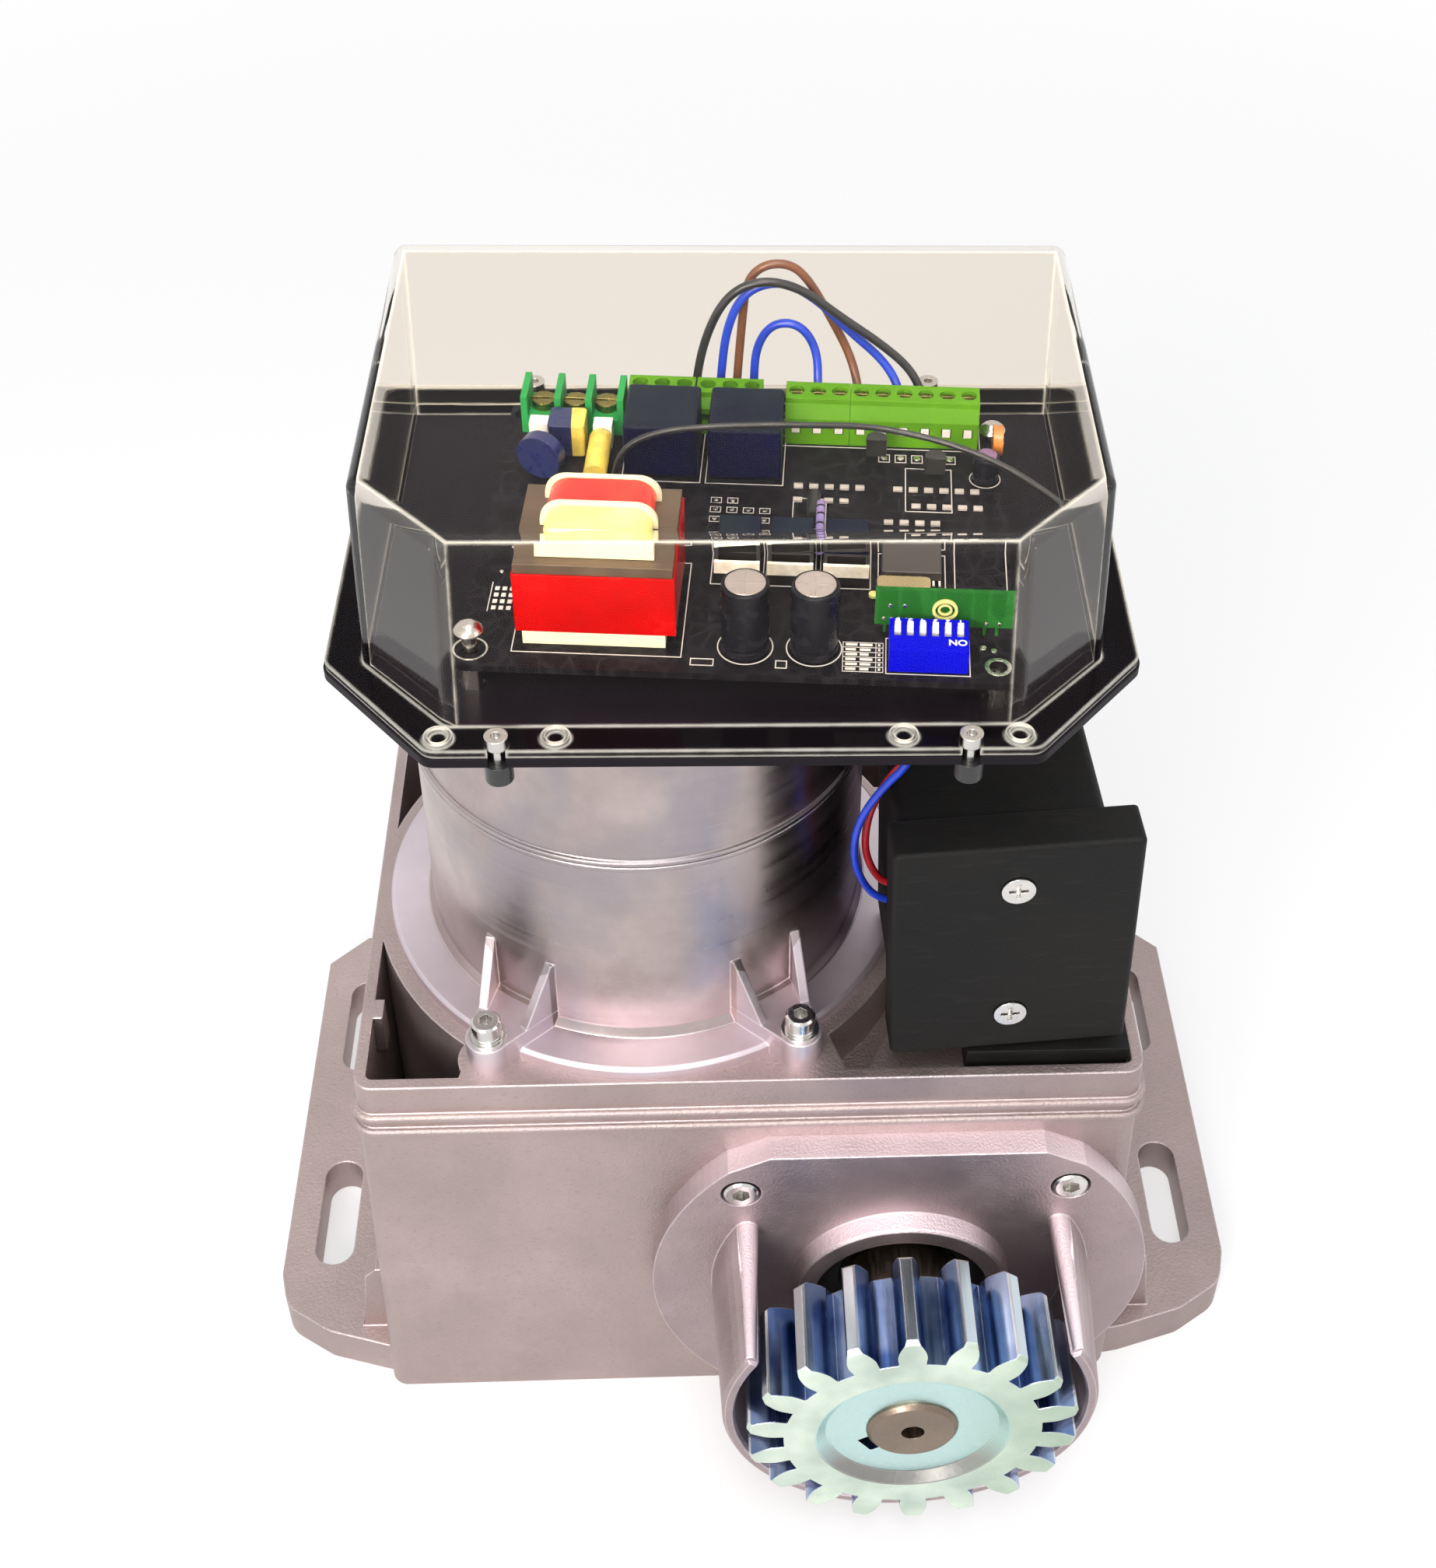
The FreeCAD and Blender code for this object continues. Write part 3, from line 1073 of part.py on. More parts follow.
def wire_tube(name, route, radius):
    """Round wire along straight runs joined by tangent arcs, each as large as its runs allow."""
    points = [V(*p) for p in route]
    edges = []
    start = points[0]
    least = 1e9
    for a, b, c in zip(points, points[1:], points[2:]):
        into = (b - a).normalize()
        away = (c - b).normalize()
        half_turn = into.getAngle(away) / 2
        back = 0.45 * min((b - a).Length, (c - b).Length)
        least = min(least, back / math.tan(half_turn))
        p = b - into * back
        q = b + away * back
        to_centre = (away - into).normalize()
        bend = back / math.tan(half_turn)
        centre = b + to_centre * (bend / math.cos(half_turn))
        middle = centre - to_centre * bend
        edges.append(Part.LineSegment(start, p).toShape())
        edges.append(Part.Arc(p, middle, q).toShape())
        start = q
    edges.append(Part.LineSegment(start, points[-1]).toShape())
    path = Part.Wire(edges)
    direction = (points[1] - points[0]).normalize()
    section = Part.Wire(Part.makeCircle(radius, points[0], direction))
    tube = outward(path.makePipeShell([section], True, False))
    ideal = math.pi * radius ** 2 * path.Length
    print(name, "least bend radius", round(least, 1), "length", round(path.Length, 1),
          "volume ratio", round(tube.Volume / ideal, 4))
    return tube


def main():
    os.makedirs("parts", exist_ok=True)
    export("base_casting", base_casting())
    export("bearing_flange", bearing_flange())
    export("flange_screws", flange_screws())
    export("pinion", pinion())
    export("pinion_key", pinion_key())
    export("output_shaft", output_shaft())
    export("worm_wheel", worm_wheel())
    export("worm_shaft", worm_shaft())
    export("shaft_bearings", ball_bearing(12.5, 26.0, 15.0, shaft_point(BODY_FRONT + 3.0), Y_BACK)
           + ball_bearing(10.0, 23.5, 14.0, shaft_point(8.0), Y_BACK))
    export("motor_bearings", ball_bearing(7.5, 17.5, 11.0, motor_point(9.5), Z_UP)
           + ball_bearing(10.0, 23.5, 14.0, motor_point(129.5), Z_UP)
           + ball_bearing(8.5, 20.0, 12.0, motor_point(212.3), Z_UP))
    export("oil_seals", [lip_seal(12.5, 22.0, 8.0, shaft_point(-87.5), Y_BACK),
                         lip_seal(10.0, 16.0, 6.6, motor_point(121.2), Z_UP)])
    export("motor_lower_shield", motor_lower_shield())
    export("motor_upper_shield", motor_upper_shield())
    export("motor_screws", motor_screws())
    export("stator_core", stator_core())
    export("stator_windings", stator_windings())
    export("rotor_core", rotor_core())
    export("control_plate", control_plate())
    export("plate_pillars", plate_pillars())
    export("clear_cover", clear_cover())
    export("cover_screws", cover_screws())
    export("cover_nuts", cover_nuts())
    export("limit_cover", limit_cover())
    export("limit_box", limit_box())
    export("limit_screws", limit_screws())
    export("limit_reeds", limit_reeds())
    export("limit_foot", limit_foot())
    export("circuit_board", circuit_board())
    export("board_standoffs", board_standoffs())
    export("transformer_core", transformer_core())
    export("transformer_tape", transformer_tape())
    export("transformer_bobbin", transformer_bobbin())
    export("transformer_windings", transformer_windings())
    export("power_relays", power_relays())
    export("terminal_blocks", terminal_blocks())
    export("barrier_terminal", barrier_terminal())
    export("terminal_screws", terminal_screws() + barrier_screws())
    export("blade_sockets", blade_sockets())
    export("capacitors", capacitors())
    export("suppressors", suppressors())
    export("small_relays", small_relays())
    export("pin_headers", pin_headers())
    export("logic_chip", logic_chip())
    export("crystal", crystal())
    export("receiver_board", receiver_board())
    export("small_parts", small_parts())
    export("dip_switch", dip_switch())
    for k in range(6):
        export("dip_slider_%d" % (k + 1), dip_slider(k))
    export("brown_leads", [wire_tube("brown lead", BROWN_ROUTE, WIRE_R),
                           wire_tube("inner brown lead", INNER_BROWN_ROUTE, WIRE_R)])
    export("blue_leads", [wire_tube("blue lead", BLUE_ROUTE, WIRE_R),
                          wire_tube("inner blue lead", INNER_BLUE_ROUTE, WIRE_R)])
    export("black_lead", wire_tube("black lead", BLACK_ROUTE, WIRE_R))
    export("limit_leads", [wire_tube("limit blue lead", LIMIT_BLUE_ROUTE, 0.9),
                           wire_tube("limit red lead", LIMIT_RED_ROUTE, 0.9)])
    export("antenna_wire", wire_tube("antenna wire", ANTENNA_ROUTE, 0.7))


main()
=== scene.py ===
"""Looks of the sliding gate motor: a finish for every piece, smooth leads, printed legends, the studio."""
import math
import bpy
import numpy as np
from mathutils import Matrix, Vector


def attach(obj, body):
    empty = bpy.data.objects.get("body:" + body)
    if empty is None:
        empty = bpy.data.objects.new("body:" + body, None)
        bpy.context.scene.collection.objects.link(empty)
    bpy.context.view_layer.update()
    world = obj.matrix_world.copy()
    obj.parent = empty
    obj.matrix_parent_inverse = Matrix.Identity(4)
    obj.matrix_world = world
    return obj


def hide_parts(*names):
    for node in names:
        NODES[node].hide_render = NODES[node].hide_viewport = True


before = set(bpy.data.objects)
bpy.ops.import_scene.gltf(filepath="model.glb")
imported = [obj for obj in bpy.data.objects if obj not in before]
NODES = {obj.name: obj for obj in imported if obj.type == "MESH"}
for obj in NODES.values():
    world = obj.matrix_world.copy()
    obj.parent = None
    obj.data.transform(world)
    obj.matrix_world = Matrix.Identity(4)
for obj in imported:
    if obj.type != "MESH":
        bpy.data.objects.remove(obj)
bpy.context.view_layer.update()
MM = 0.001

# ---------------------------------------------------------------- places taken from the part, in millimetres
BOARD_CORNER = np.array([-59.9, -69.0])
BOARD_TURN = math.radians(-4.4)
BOARD_Z = 248.0
SHAFT_X = 37.5
SHAFT_Z = 56.5
MOTOR_X = -25.0
MOTOR_Y = -16.0
MOTOR_RADIUS = 55.2
EAR_TOP = 153.0
TIP_START = 39.4
DISH_INNER = 20.4
DISH_OUTER = 23.6

# on the board, u runs to the right and v to the back from its front left corner
COIL_SPLIT = 20.2
SOCKET_WALL = 30.3
TERMINAL_PITCH = 4.84
TERMINAL_ROWS = ((63.3, 3), (77.9, 6))
CAPS = ((58.1, 8.8), (72.1, 9.0))
SMALL_CAP = (108.4, 68.0)
SWITCH_U = 95.2
SWITCH_TOP = 6.04
SLIDER_PITCH = 2.54


# ---------------------------------------------------------------- camera
def add_camera():
    """Camera above the gate side, looking down at the control box."""
    pitch = math.radians(41.85)
    yaw = math.radians(3.43)
    roll = math.radians(1.45)
    forward = Vector((math.sin(yaw) * math.cos(pitch), math.cos(yaw) * math.cos(pitch), -math.sin(pitch)))
    level = Vector((math.cos(yaw), -math.sin(yaw), 0.0))
    over = level.cross(forward)
    right = math.cos(roll) * level + math.sin(roll) * over
    up = -math.sin(roll) * level + math.cos(roll) * over
    data = bpy.data.cameras.new("gate_side_camera")
    data.sensor_width = 36.0
    data.lens = 50.54
    data.shift_x = -0.0549
    data.shift_y = -0.0599
    data.clip_start = 0.01
    data.clip_end = 20.0
    camera = bpy.data.objects.new("gate_side_camera", data)
    bpy.context.scene.collection.objects.link(camera)
    rows = [[right[i], up[i], -forward[i]] for i in range(3)]
    place = Vector((-0.00941, -0.4042, 0.54022))
    camera.matrix_world = Matrix.Translation(place) @ Matrix(rows).to_4x4()
    bpy.context.scene.camera = camera


add_camera()


# ---------------------------------------------------------------- material tools
def put(tree, kind, **values):
    """One node; keywords set its properties, or its inputs where the name starts with in_."""
    node = tree.nodes.new(kind)
    for key, value in values.items():
        if key.startswith("in_"):
            node.inputs[key[3:].replace("_", " ")].default_value = value
        else:
            setattr(node, key, value)
    return node


def join(tree, source, target):
    tree.links.new(source, target)


def group_shell(name, inputs, outputs):
    """Empty shader group with named sockets; returns it with its input and output nodes."""
    group = bpy.data.node_groups.new(name, "ShaderNodeTree")
    for label, kind, value in inputs:
        socket = group.interface.new_socket(name=label, in_out="INPUT", socket_type=kind)
        if value is not None:
            socket.default_value = value
    for label, kind in outputs:
        group.interface.new_socket(name=label, in_out="OUTPUT", socket_type=kind)
    return group, group.nodes.new("NodeGroupInput"), group.nodes.new("NodeGroupOutput")


def build_grain():
    """Two noises of one size: a fine one for height and a broad one for tone."""
    group, gin, gout = group_shell("surface_grain", [("Vector", "NodeSocketVector", None),
                                                      ("Fine Scale", "NodeSocketFloat", 2000.0),
                                                      ("Broad Scale", "NodeSocketFloat", 40.0)],
                                   [("Fine", "NodeSocketFloat"), ("Broad", "NodeSocketFloat")])
    for label, detail, rough in (("Fine", 3.0, 0.6), ("Broad", 5.0, 0.62)):
        noise = put(group, "ShaderNodeTexNoise", in_Detail=detail, in_Roughness=rough)
        join(group, gin.outputs["Vector"], noise.inputs["Vector"])
        join(group, gin.outputs[label + " Scale"], noise.inputs["Scale"])
        spread = put(group, "ShaderNodeMapRange", in_From_Min=0.32, in_From_Max=0.68)
        join(group, noise.outputs["Fac"], spread.inputs["Value"])
        join(group, spread.outputs["Result"], gout.inputs[label])
    return group


def build_edge_wear():
    """Mask that is 1 along edges, for worn edges and for the cover's painted edge highlight: how far a
    rounded normal leans from the true one, broken by noise.
    """
    group, gin, gout = group_shell("edge_wear_and_glint", [("Vector", "NodeSocketVector", None),
                                                  ("Radius", "NodeSocketFloat", 0.0006),
                                                  ("Amount", "NodeSocketFloat", 4.0)],
                                   [("Mask", "NodeSocketFloat"), ("Normal", "NodeSocketVector")])
    bevel = put(group, "ShaderNodeBevel", samples=4)
    join(group, gin.outputs["Radius"], bevel.inputs["Radius"])
    geometry = group.nodes.new("ShaderNodeNewGeometry")
    dot = put(group, "ShaderNodeVectorMath", operation="DOT_PRODUCT")
    join(group, bevel.outputs["Normal"], dot.inputs[0])
    join(group, geometry.outputs["Normal"], dot.inputs[1])
    lean = put(group, "ShaderNodeMath", operation="SUBTRACT")
    lean.inputs[0].default_value = 1.0
    join(group, dot.outputs["Value"], lean.inputs[1])
    noise = put(group, "ShaderNodeTexNoise", in_Scale=220.0, in_Detail=3.0)
    join(group, gin.outputs["Vector"], noise.inputs["Vector"])
    gain = put(group, "ShaderNodeMath", operation="MULTIPLY")
    join(group, lean.outputs[0], gain.inputs[0])
    join(group, gin.outputs["Amount"], gain.inputs[1])
    mask = put(group, "ShaderNodeMath", operation="MULTIPLY", use_clamp=True)
    join(group, gain.outputs[0], mask.inputs[0])
    join(group, noise.outputs["Fac"], mask.inputs[1])
    join(group, mask.outputs[0], gout.inputs["Mask"])
    join(group, bevel.outputs["Normal"], gout.inputs["Normal"])
    return group


def build_scratches():
    """Sparse fine scratches: thin bands of stretched noise laid in two directions."""
    group, gin, gout = group_shell("fine_scratches", [("Vector", "NodeSocketVector", None),
                                                       ("Scale", "NodeSocketFloat", 60.0),
                                                       ("Density", "NodeSocketFloat", 0.5)],
                                   [("Mask", "NodeSocketFloat")])
    marks = []
    for turn, stretch in ((0.5, 22.0), (2.1, 30.0)):
        mapping = put(group, "ShaderNodeMapping")
        mapping.inputs["Rotation"].default_value = (turn * 0.6, turn, turn * 1.7)
        mapping.inputs["Scale"].default_value = (1.0, stretch, stretch * 0.5)
        join(group, gin.outputs["Vector"], mapping.inputs["Vector"])
        noise = put(group, "ShaderNodeTexNoise", in_Detail=1.0)
        join(group, mapping.outputs["Vector"], noise.inputs["Vector"])
        join(group, gin.outputs["Scale"], noise.inputs["Scale"])
        cut = put(group, "ShaderNodeMapRange", in_From_Min=0.66, in_From_Max=0.72)
        join(group, noise.outputs["Fac"], cut.inputs["Value"])
        marks.append(cut.outputs["Result"])
    both = put(group, "ShaderNodeMath", operation="MAXIMUM")
    join(group, marks[0], both.inputs[0])
    join(group, marks[1], both.inputs[1])
    share = put(group, "ShaderNodeMath", operation="MULTIPLY", use_clamp=True)
    join(group, both.outputs[0], share.inputs[0])
    join(group, gin.outputs["Density"], share.inputs[1])
    join(group, share.outputs[0], gout.inputs["Mask"])
    return group


GRAIN = build_grain()
EDGE = build_edge_wear()
SCRATCH = build_scratches()


class Finish:
    """A material under construction: its Principled shader, object coordinates and small helpers."""

    def __init__(self, name, color=(0.5, 0.5, 0.5), rough=0.5, metal=0.0, **sockets):
        self.mat = bpy.data.materials.new(name)
        self.mat.use_nodes = True
        self.tree = self.mat.node_tree
        self.shader = self.tree.nodes["Principled BSDF"]
        self.output = self.tree.nodes["Material Output"]
        self.shader.inputs["Base Color"].default_value = (*color, 1.0)
        self.shader.inputs["Roughness"].default_value = rough
        self.shader.inputs["Metallic"].default_value = metal
        for key, value in sockets.items():
            self.shader.inputs[key.replace("_", " ")].default_value = value
        self.coords = self.tree.nodes.new("ShaderNodeTexCoord").outputs["Object"]

    def group(self, source, **values):
        node = self.tree.nodes.new("ShaderNodeGroup")
        node.node_tree = source
        join(self.tree, self.coords, node.inputs["Vector"])
        for key, value in values.items():
            node.inputs[key.replace("_", " ")].default_value = value
        return node

    def mix(self, factor, a, b):
        """Colour between a and b by factor; a and b are colours or sockets."""
        node = put(self.tree, "ShaderNodeMix", data_type="RGBA")
        for socket, value in ((node.inputs["Factor"], factor), (node.inputs[6], a), (node.inputs[7], b)):
            if isinstance(value, bpy.types.NodeSocket):
                join(self.tree, value, socket)
            elif isinstance(value, (int, float)):
                socket.default_value = value
            else:
                socket.default_value = (*value, 1.0)
        return node.outputs[2]

    def span(self, value, low, high, start=0.0, end=1.0):
        """Number from low to high as value goes from start to end."""
        node = put(self.tree, "ShaderNodeMapRange", in_From_Min=start, in_From_Max=end, in_To_Min=low,
                   in_To_Max=high)
        join(self.tree, value, node.inputs["Value"])
        return node.outputs["Result"]

    def math(self, operation, a, b=0.5, clamp=False):
        node = put(self.tree, "ShaderNodeMath", operation=operation, use_clamp=clamp)
        for socket, value in ((node.inputs[0], a), (node.inputs[1], b)):
            if isinstance(value, bpy.types.NodeSocket):
                join(self.tree, value, socket)
            else:
                socket.default_value = value
        return node.outputs[0]

    def axis(self, name):
        node = self.tree.nodes.new("ShaderNodeSeparateXYZ")
        join(self.tree, self.coords, node.inputs[0])
        return node.outputs[name]

    def facing(self, name):
        """Part of the true surface normal along one axis, in the scene's directions."""
        geometry = self.tree.nodes.new("ShaderNodeNewGeometry")
        parts = self.tree.nodes.new("ShaderNodeSeparateXYZ")
        join(self.tree, geometry.outputs["True Normal"], parts.inputs[0])
        return parts.outputs[name]

    def reach(self, a, b):
        """Distance from the origin of the plane that a and b measure."""
        return self.math("SQRT", self.math("ADD", self.math("MULTIPLY", a, a), self.math("MULTIPLY", b, b)))

    def behind(self, depth):
        """1 where the board depth is more than this many millimetres: v = (p - corner) . (-sin a, cos a)."""
        s = math.sin(BOARD_TURN)
        c = math.cos(BOARD_TURN)
        line = (depth + BOARD_CORNER[1] * c - BOARD_CORNER[0] * s) * MM
        along_y = self.math("MULTIPLY", self.axis("Y"), c)
        along_x = self.math("MULTIPLY", self.axis("X"), -s)
        return self.math("GREATER_THAN", self.math("ADD", along_y, along_x), line)

    def stretched(self, scale, turn=(0.0, 0.0, 0.0), place=(0.0, 0.0, 0.0)):
        node = put(self.tree, "ShaderNodeMapping")
        node.inputs["Scale"].default_value = scale
        node.inputs["Rotation"].default_value = turn
        node.inputs["Location"].default_value = place
        join(self.tree, self.coords, node.inputs["Vector"])
        return node.outputs["Vector"]

    def noise(self, scale, detail=3.0, vector=None, rough=0.55):
        node = put(self.tree, "ShaderNodeTexNoise", in_Scale=scale, in_Detail=detail, in_Roughness=rough)
        join(self.tree, vector or self.coords, node.inputs["Vector"])
        return node.outputs["Fac"]

    def color(self, socket):
        join(self.tree, socket, self.shader.inputs["Base Color"])

    def rough(self, socket):
        join(self.tree, socket, self.shader.inputs["Roughness"])

    def bump(self, height, distance, strength=1.0, normal=None):
        node = put(self.tree, "ShaderNodeBump", in_Strength=strength, in_Distance=distance)
        join(self.tree, height, node.inputs["Height"])
        if normal is not None:
            join(self.tree, normal, node.inputs["Normal"])
        join(self.tree, node.outputs["Normal"], self.shader.inputs["Normal"])


def cast_finish(name, color, bright, rough, fine, fine_depth, broad, radius, wear, top=None, side=1.0):
    """Cast metal: grainy skin, cloudy tone, bright worn edges; a painted highlight tone on upward faces
    (top) and painted shade towards the right (side).
    """
    f = Finish(name, color, rough, 1.0)
    grain = f.group(GRAIN, Fine_Scale=fine, Broad_Scale=broad)
    edge = f.group(EDGE, Radius=radius, Amount=wear)
    dark = tuple(c * 0.80 for c in color)
    tone = f.mix(grain.outputs["Broad"], dark, color)
    speck = f.span(f.noise(900.0, 2.0), 0.0, 1.0, 0.60, 0.72)
    tone = f.mix(f.math("MULTIPLY", speck, 0.25), tone, tuple(c * 0.55 for c in color))
    # painted shade: the colour darkens towards the right, by the share 1 - side
    far = f.span(f.axis("X"), 0.0, 1.0 - side, 0.045, 0.115)
    tone = f.mix(far, tone, (0.02, 0.016, 0.018))
    # painted highlight: faces turned upwards take the top colour, as if lit from above
    if top:
        tone = f.mix(f.span(f.facing("Z"), 0.0, 1.0, 0.35, 0.8), tone, top)
    f.color(f.mix(edge.outputs["Mask"], tone, bright))
    f.rough(f.math("SUBTRACT", f.span(grain.outputs["Broad"], rough - 0.06, rough + 0.08),
                   f.math("MULTIPLY", edge.outputs["Mask"], 0.18)))
    f.bump(grain.outputs["Fine"], fine_depth, 0.8, edge.outputs["Normal"])
    return f.mat


def plastic_finish(name, color, rough, fine=1500.0, depth=0.00002, radius=0.0003, wear=2.0, shine=0.5):
    """Moulded plastic: faint grain, slight tone drift, edges rubbed a little lighter."""
    f = Finish(name, color, rough, 0.0, Specular_IOR_Level=shine)
    grain = f.group(GRAIN, Fine_Scale=fine, Broad_Scale=90.0)
    edge = f.group(EDGE, Radius=radius, Amount=wear)
    lighter = tuple(min(1.0, c * 1.25 + 0.01) for c in color)
    tone = f.mix(grain.outputs["Broad"], tuple(c * 0.88 for c in color), color)
    f.color(f.mix(edge.outputs["Mask"], tone, lighter))
    f.rough(f.span(grain.outputs["Broad"], rough - 0.05, rough + 0.07))
    f.bump(grain.outputs["Fine"], depth, 0.6, edge.outputs["Normal"])
    return f.mat


def machined_finish(name, color, rough, lines=(1.0, 1.0, 1.0), tint=None, depth=0.00001, radius=0.0003):
    """Turned, ground or plated steel: fine tool lines, cloudy tint, crisp bright edges."""
    f = Finish(name, color, rough, 1.0)
    edge = f.group(EDGE, Radius=radius, Amount=3.0)
    marks = f.noise(1200.0, 2.0, f.stretched(lines))
    cloud = f.span(f.noise(70.0, 3.0), 0.0, 1.0, 0.35, 0.65)
    tone = f.mix(cloud, color, tint or tuple(c * 0.82 for c in color))
    f.color(f.mix(edge.outputs["Mask"], tone, tuple(min(1.0, c * 1.3) for c in color)))
    f.rough(f.span(marks, rough - 0.07, rough + 0.10, 0.3, 0.7))
    f.bump(marks, depth, 0.5, edge.outputs["Normal"])
    return f.mat


def cover_glass():
    """Clear moulding: low bend that keeps what it covers sharp, a painted pale highlight along the edges,
    lamps shine through.
    """
    f = Finish("clear_moulding", (0.935, 0.895, 0.845), 0.02, 0.0, Transmission_Weight=1.0, IOR=1.11,
               Coat_Roughness=0.05)
    aside = f.math("ABSOLUTE", f.facing("X"))
    slanted = f.math("MULTIPLY", f.math("GREATER_THAN", aside, 0.4), f.math("LESS_THAN", aside, 0.9))
    join(f.tree, f.math("MULTIPLY", slanted, 0.6), f.shader.inputs["Coat Weight"])
    haze = f.group(GRAIN, Fine_Scale=300.0, Broad_Scale=18.0)
    f.rough(f.span(haze.outputs["Broad"], 0.005, 0.03))
    marks = f.group(SCRATCH, Scale=30.0, Density=0.35)
    height = f.math("ADD", f.math("MULTIPLY", haze.outputs["Broad"], 0.5), marks.outputs["Mask"])
    f.bump(height, 0.00002, 0.15)
    # painted highlight: a pale diffuse layer mixed in along the edges
    edge = f.group(EDGE, Radius=0.0013, Amount=8.0)
    pale = put(f.tree, "ShaderNodeBsdfDiffuse")
    pale.inputs["Color"].default_value = (0.84, 0.81, 0.72, 1.0)
    rim = put(f.tree, "ShaderNodeMixShader")
    join(f.tree, f.math("MULTIPLY", edge.outputs["Mask"], 0.75), rim.inputs["Fac"])
    join(f.tree, f.shader.outputs[0], rim.inputs[1])
    join(f.tree, pale.outputs[0], rim.inputs[2])
    path = f.tree.nodes.new("ShaderNodeLightPath")
    clear = put(f.tree, "ShaderNodeBsdfTransparent")
    clear.inputs["Color"].default_value = (0.95, 0.95, 0.93, 1.0)
    blend = put(f.tree, "ShaderNodeMixShader")
    join(f.tree, path.outputs["Is Shadow Ray"], blend.inputs["Fac"])
    join(f.tree, rim.outputs[0], blend.inputs[1])
    join(f.tree, clear.outputs[0], blend.inputs[2])
    join(f.tree, blend.outputs[0], f.output.inputs["Surface"])
    return f.mat


def pinion_finish():
    """Blue-bright zinc: pale green end faces, a turned dish round the hub, blue flanks with hob lines;
    painted shade in the tooth gaps, on the lower dish wall and on the right of the end faces, with paler
    painted tooth tips.
    """
    f = Finish("blue_zinc", (0.70, 0.78, 0.77), 0.24, 1.0)
    edge = f.group(EDGE, Radius=0.0004, Amount=4.5)
    end_face = f.math("GREATER_THAN", f.math("ABSOLUTE", f.facing("Y")), 0.6)
    cloud = f.span(f.noise(38.0, 3.0), 0.0, 1.0, 0.38, 0.62)
    faces = f.mix(cloud, (0.48, 0.58, 0.50), (0.76, 0.86, 0.74))
    # the blue is the zinc's own; its dark end is painted shade in the tooth gaps
    flanks = f.mix(cloud, (0.06, 0.13, 0.34), (0.34, 0.46, 0.66))
    x = f.math("SUBTRACT", f.axis("X"), SHAFT_X * MM)
    z = f.math("SUBTRACT", f.axis("Z"), SHAFT_Z * MM)
    reach = f.reach(x, z)
    tips = f.math("GREATER_THAN", reach, TIP_START * MM)
    dish = f.math("LESS_THAN", reach, DISH_OUTER * MM)
    wall = f.math("MULTIPLY", f.math("GREATER_THAN", reach, DISH_INNER * MM), dish)
    # painted shade: the lower part of the dish wall is darker
    low = f.span(z, 1.0, 0.0, -0.014, -0.004)
    dish_wall_shaded = f.mix(low, (0.44, 0.66, 0.66), (0.20, 0.17, 0.18))
    faces = f.mix(f.math("LESS_THAN", reach, DISH_INNER * MM), faces, (0.50, 0.68, 0.66))
    faces = f.mix(f.math("MULTIPLY", wall, 0.8), faces, dish_wall_shaded)
    # painted shade on the right of the end faces; it turns with the pinion
    shade = f.span(f.axis("X"), 0.0, 0.55, 0.046, 0.070)
    faces = f.mix(shade, faces, (0.30, 0.42, 0.30))
    # painted highlight: the tooth tips are paler than the flanks
    tone = f.mix(end_face, f.mix(f.math("MULTIPLY", tips, 0.8), flanks, (0.70, 0.78, 0.80)), faces)
    f.color(f.mix(edge.outputs["Mask"], tone, (0.94, 0.96, 0.93)))
    along = f.noise(900.0, 2.0, f.stretched((1.0, 0.04, 1.0)))
    f.rough(f.math("ADD", f.span(along, 0.16, 0.28, 0.3, 0.7), f.math("MULTIPLY", end_face, 0.10)))
    lines = f.math("MULTIPLY", along, f.math("SUBTRACT", 1.0, end_face))
    f.bump(lines, 0.00003, 0.5, edge.outputs["Normal"])
    return f.mat


def motor_finish():
    """Spun and lacquered aluminium: rings round the axis, grey patches, painted shade on the right side with
    its reflections dimmed, paler ears.
    """
    f = Finish("motor_shell", (0.62, 0.58, 0.57), 0.30, 1.0)
    edge = f.group(EDGE, Radius=0.0006, Amount=4.0)
    rings = f.noise(500.0, 3.0, f.stretched((0.02, 0.02, 1.0)))
    grain = f.group(GRAIN, Fine_Scale=1500.0, Broad_Scale=24.0)
    patch = f.span(f.noise(34.0, 4.0, f.stretched((1.0, 1.0, 0.6))), 0.0, 0.8, 0.50, 0.66)
    tone = f.mix(grain.outputs["Broad"], (0.36, 0.295, 0.285), (0.58, 0.49, 0.475))
    tone = f.mix(patch, tone, (0.34, 0.31, 0.34))
    # painted shade: the barrel darkens and its reflections are tinted down towards the right
    right = f.span(f.axis("X"), 0.0, 0.75, 0.004, 0.030)
    tone = f.mix(right, tone, (0.14, 0.11, 0.18))
    join(f.tree, f.mix(right, (1.0, 1.0, 1.0), (0.05, 0.04, 0.10)), f.shader.inputs["Specular Tint"])
    x = f.math("SUBTRACT", f.axis("X"), MOTOR_X * MM)
    y = f.math("SUBTRACT", f.axis("Y"), MOTOR_Y * MM)
    outside = f.math("GREATER_THAN", f.reach(x, y), MOTOR_RADIUS * MM)
    low = f.math("LESS_THAN", f.axis("Z"), EAR_TOP * MM)
    ears = f.math("MULTIPLY", outside, low)
    lilac = f.mix(grain.outputs["Broad"], (0.56, 0.48, 0.52), (0.70, 0.62, 0.66))
    tone = f.mix(ears, tone, lilac)
    f.color(f.mix(edge.outputs["Mask"], tone, (0.92, 0.88, 0.88)))
    smooth = f.math("ADD", f.span(rings, 0.22, 0.32, 0.3, 0.7), f.span(grain.outputs["Broad"], 0.0, 0.10))
    f.rough(f.math("ADD", smooth, f.math("MULTIPLY", ears, 0.14)))
    f.bump(f.math("ADD", rings, f.math("MULTIPLY", grain.outputs["Fine"], 0.6)), 0.00002, 0.5,
           edge.outputs["Normal"])
    return f.mat


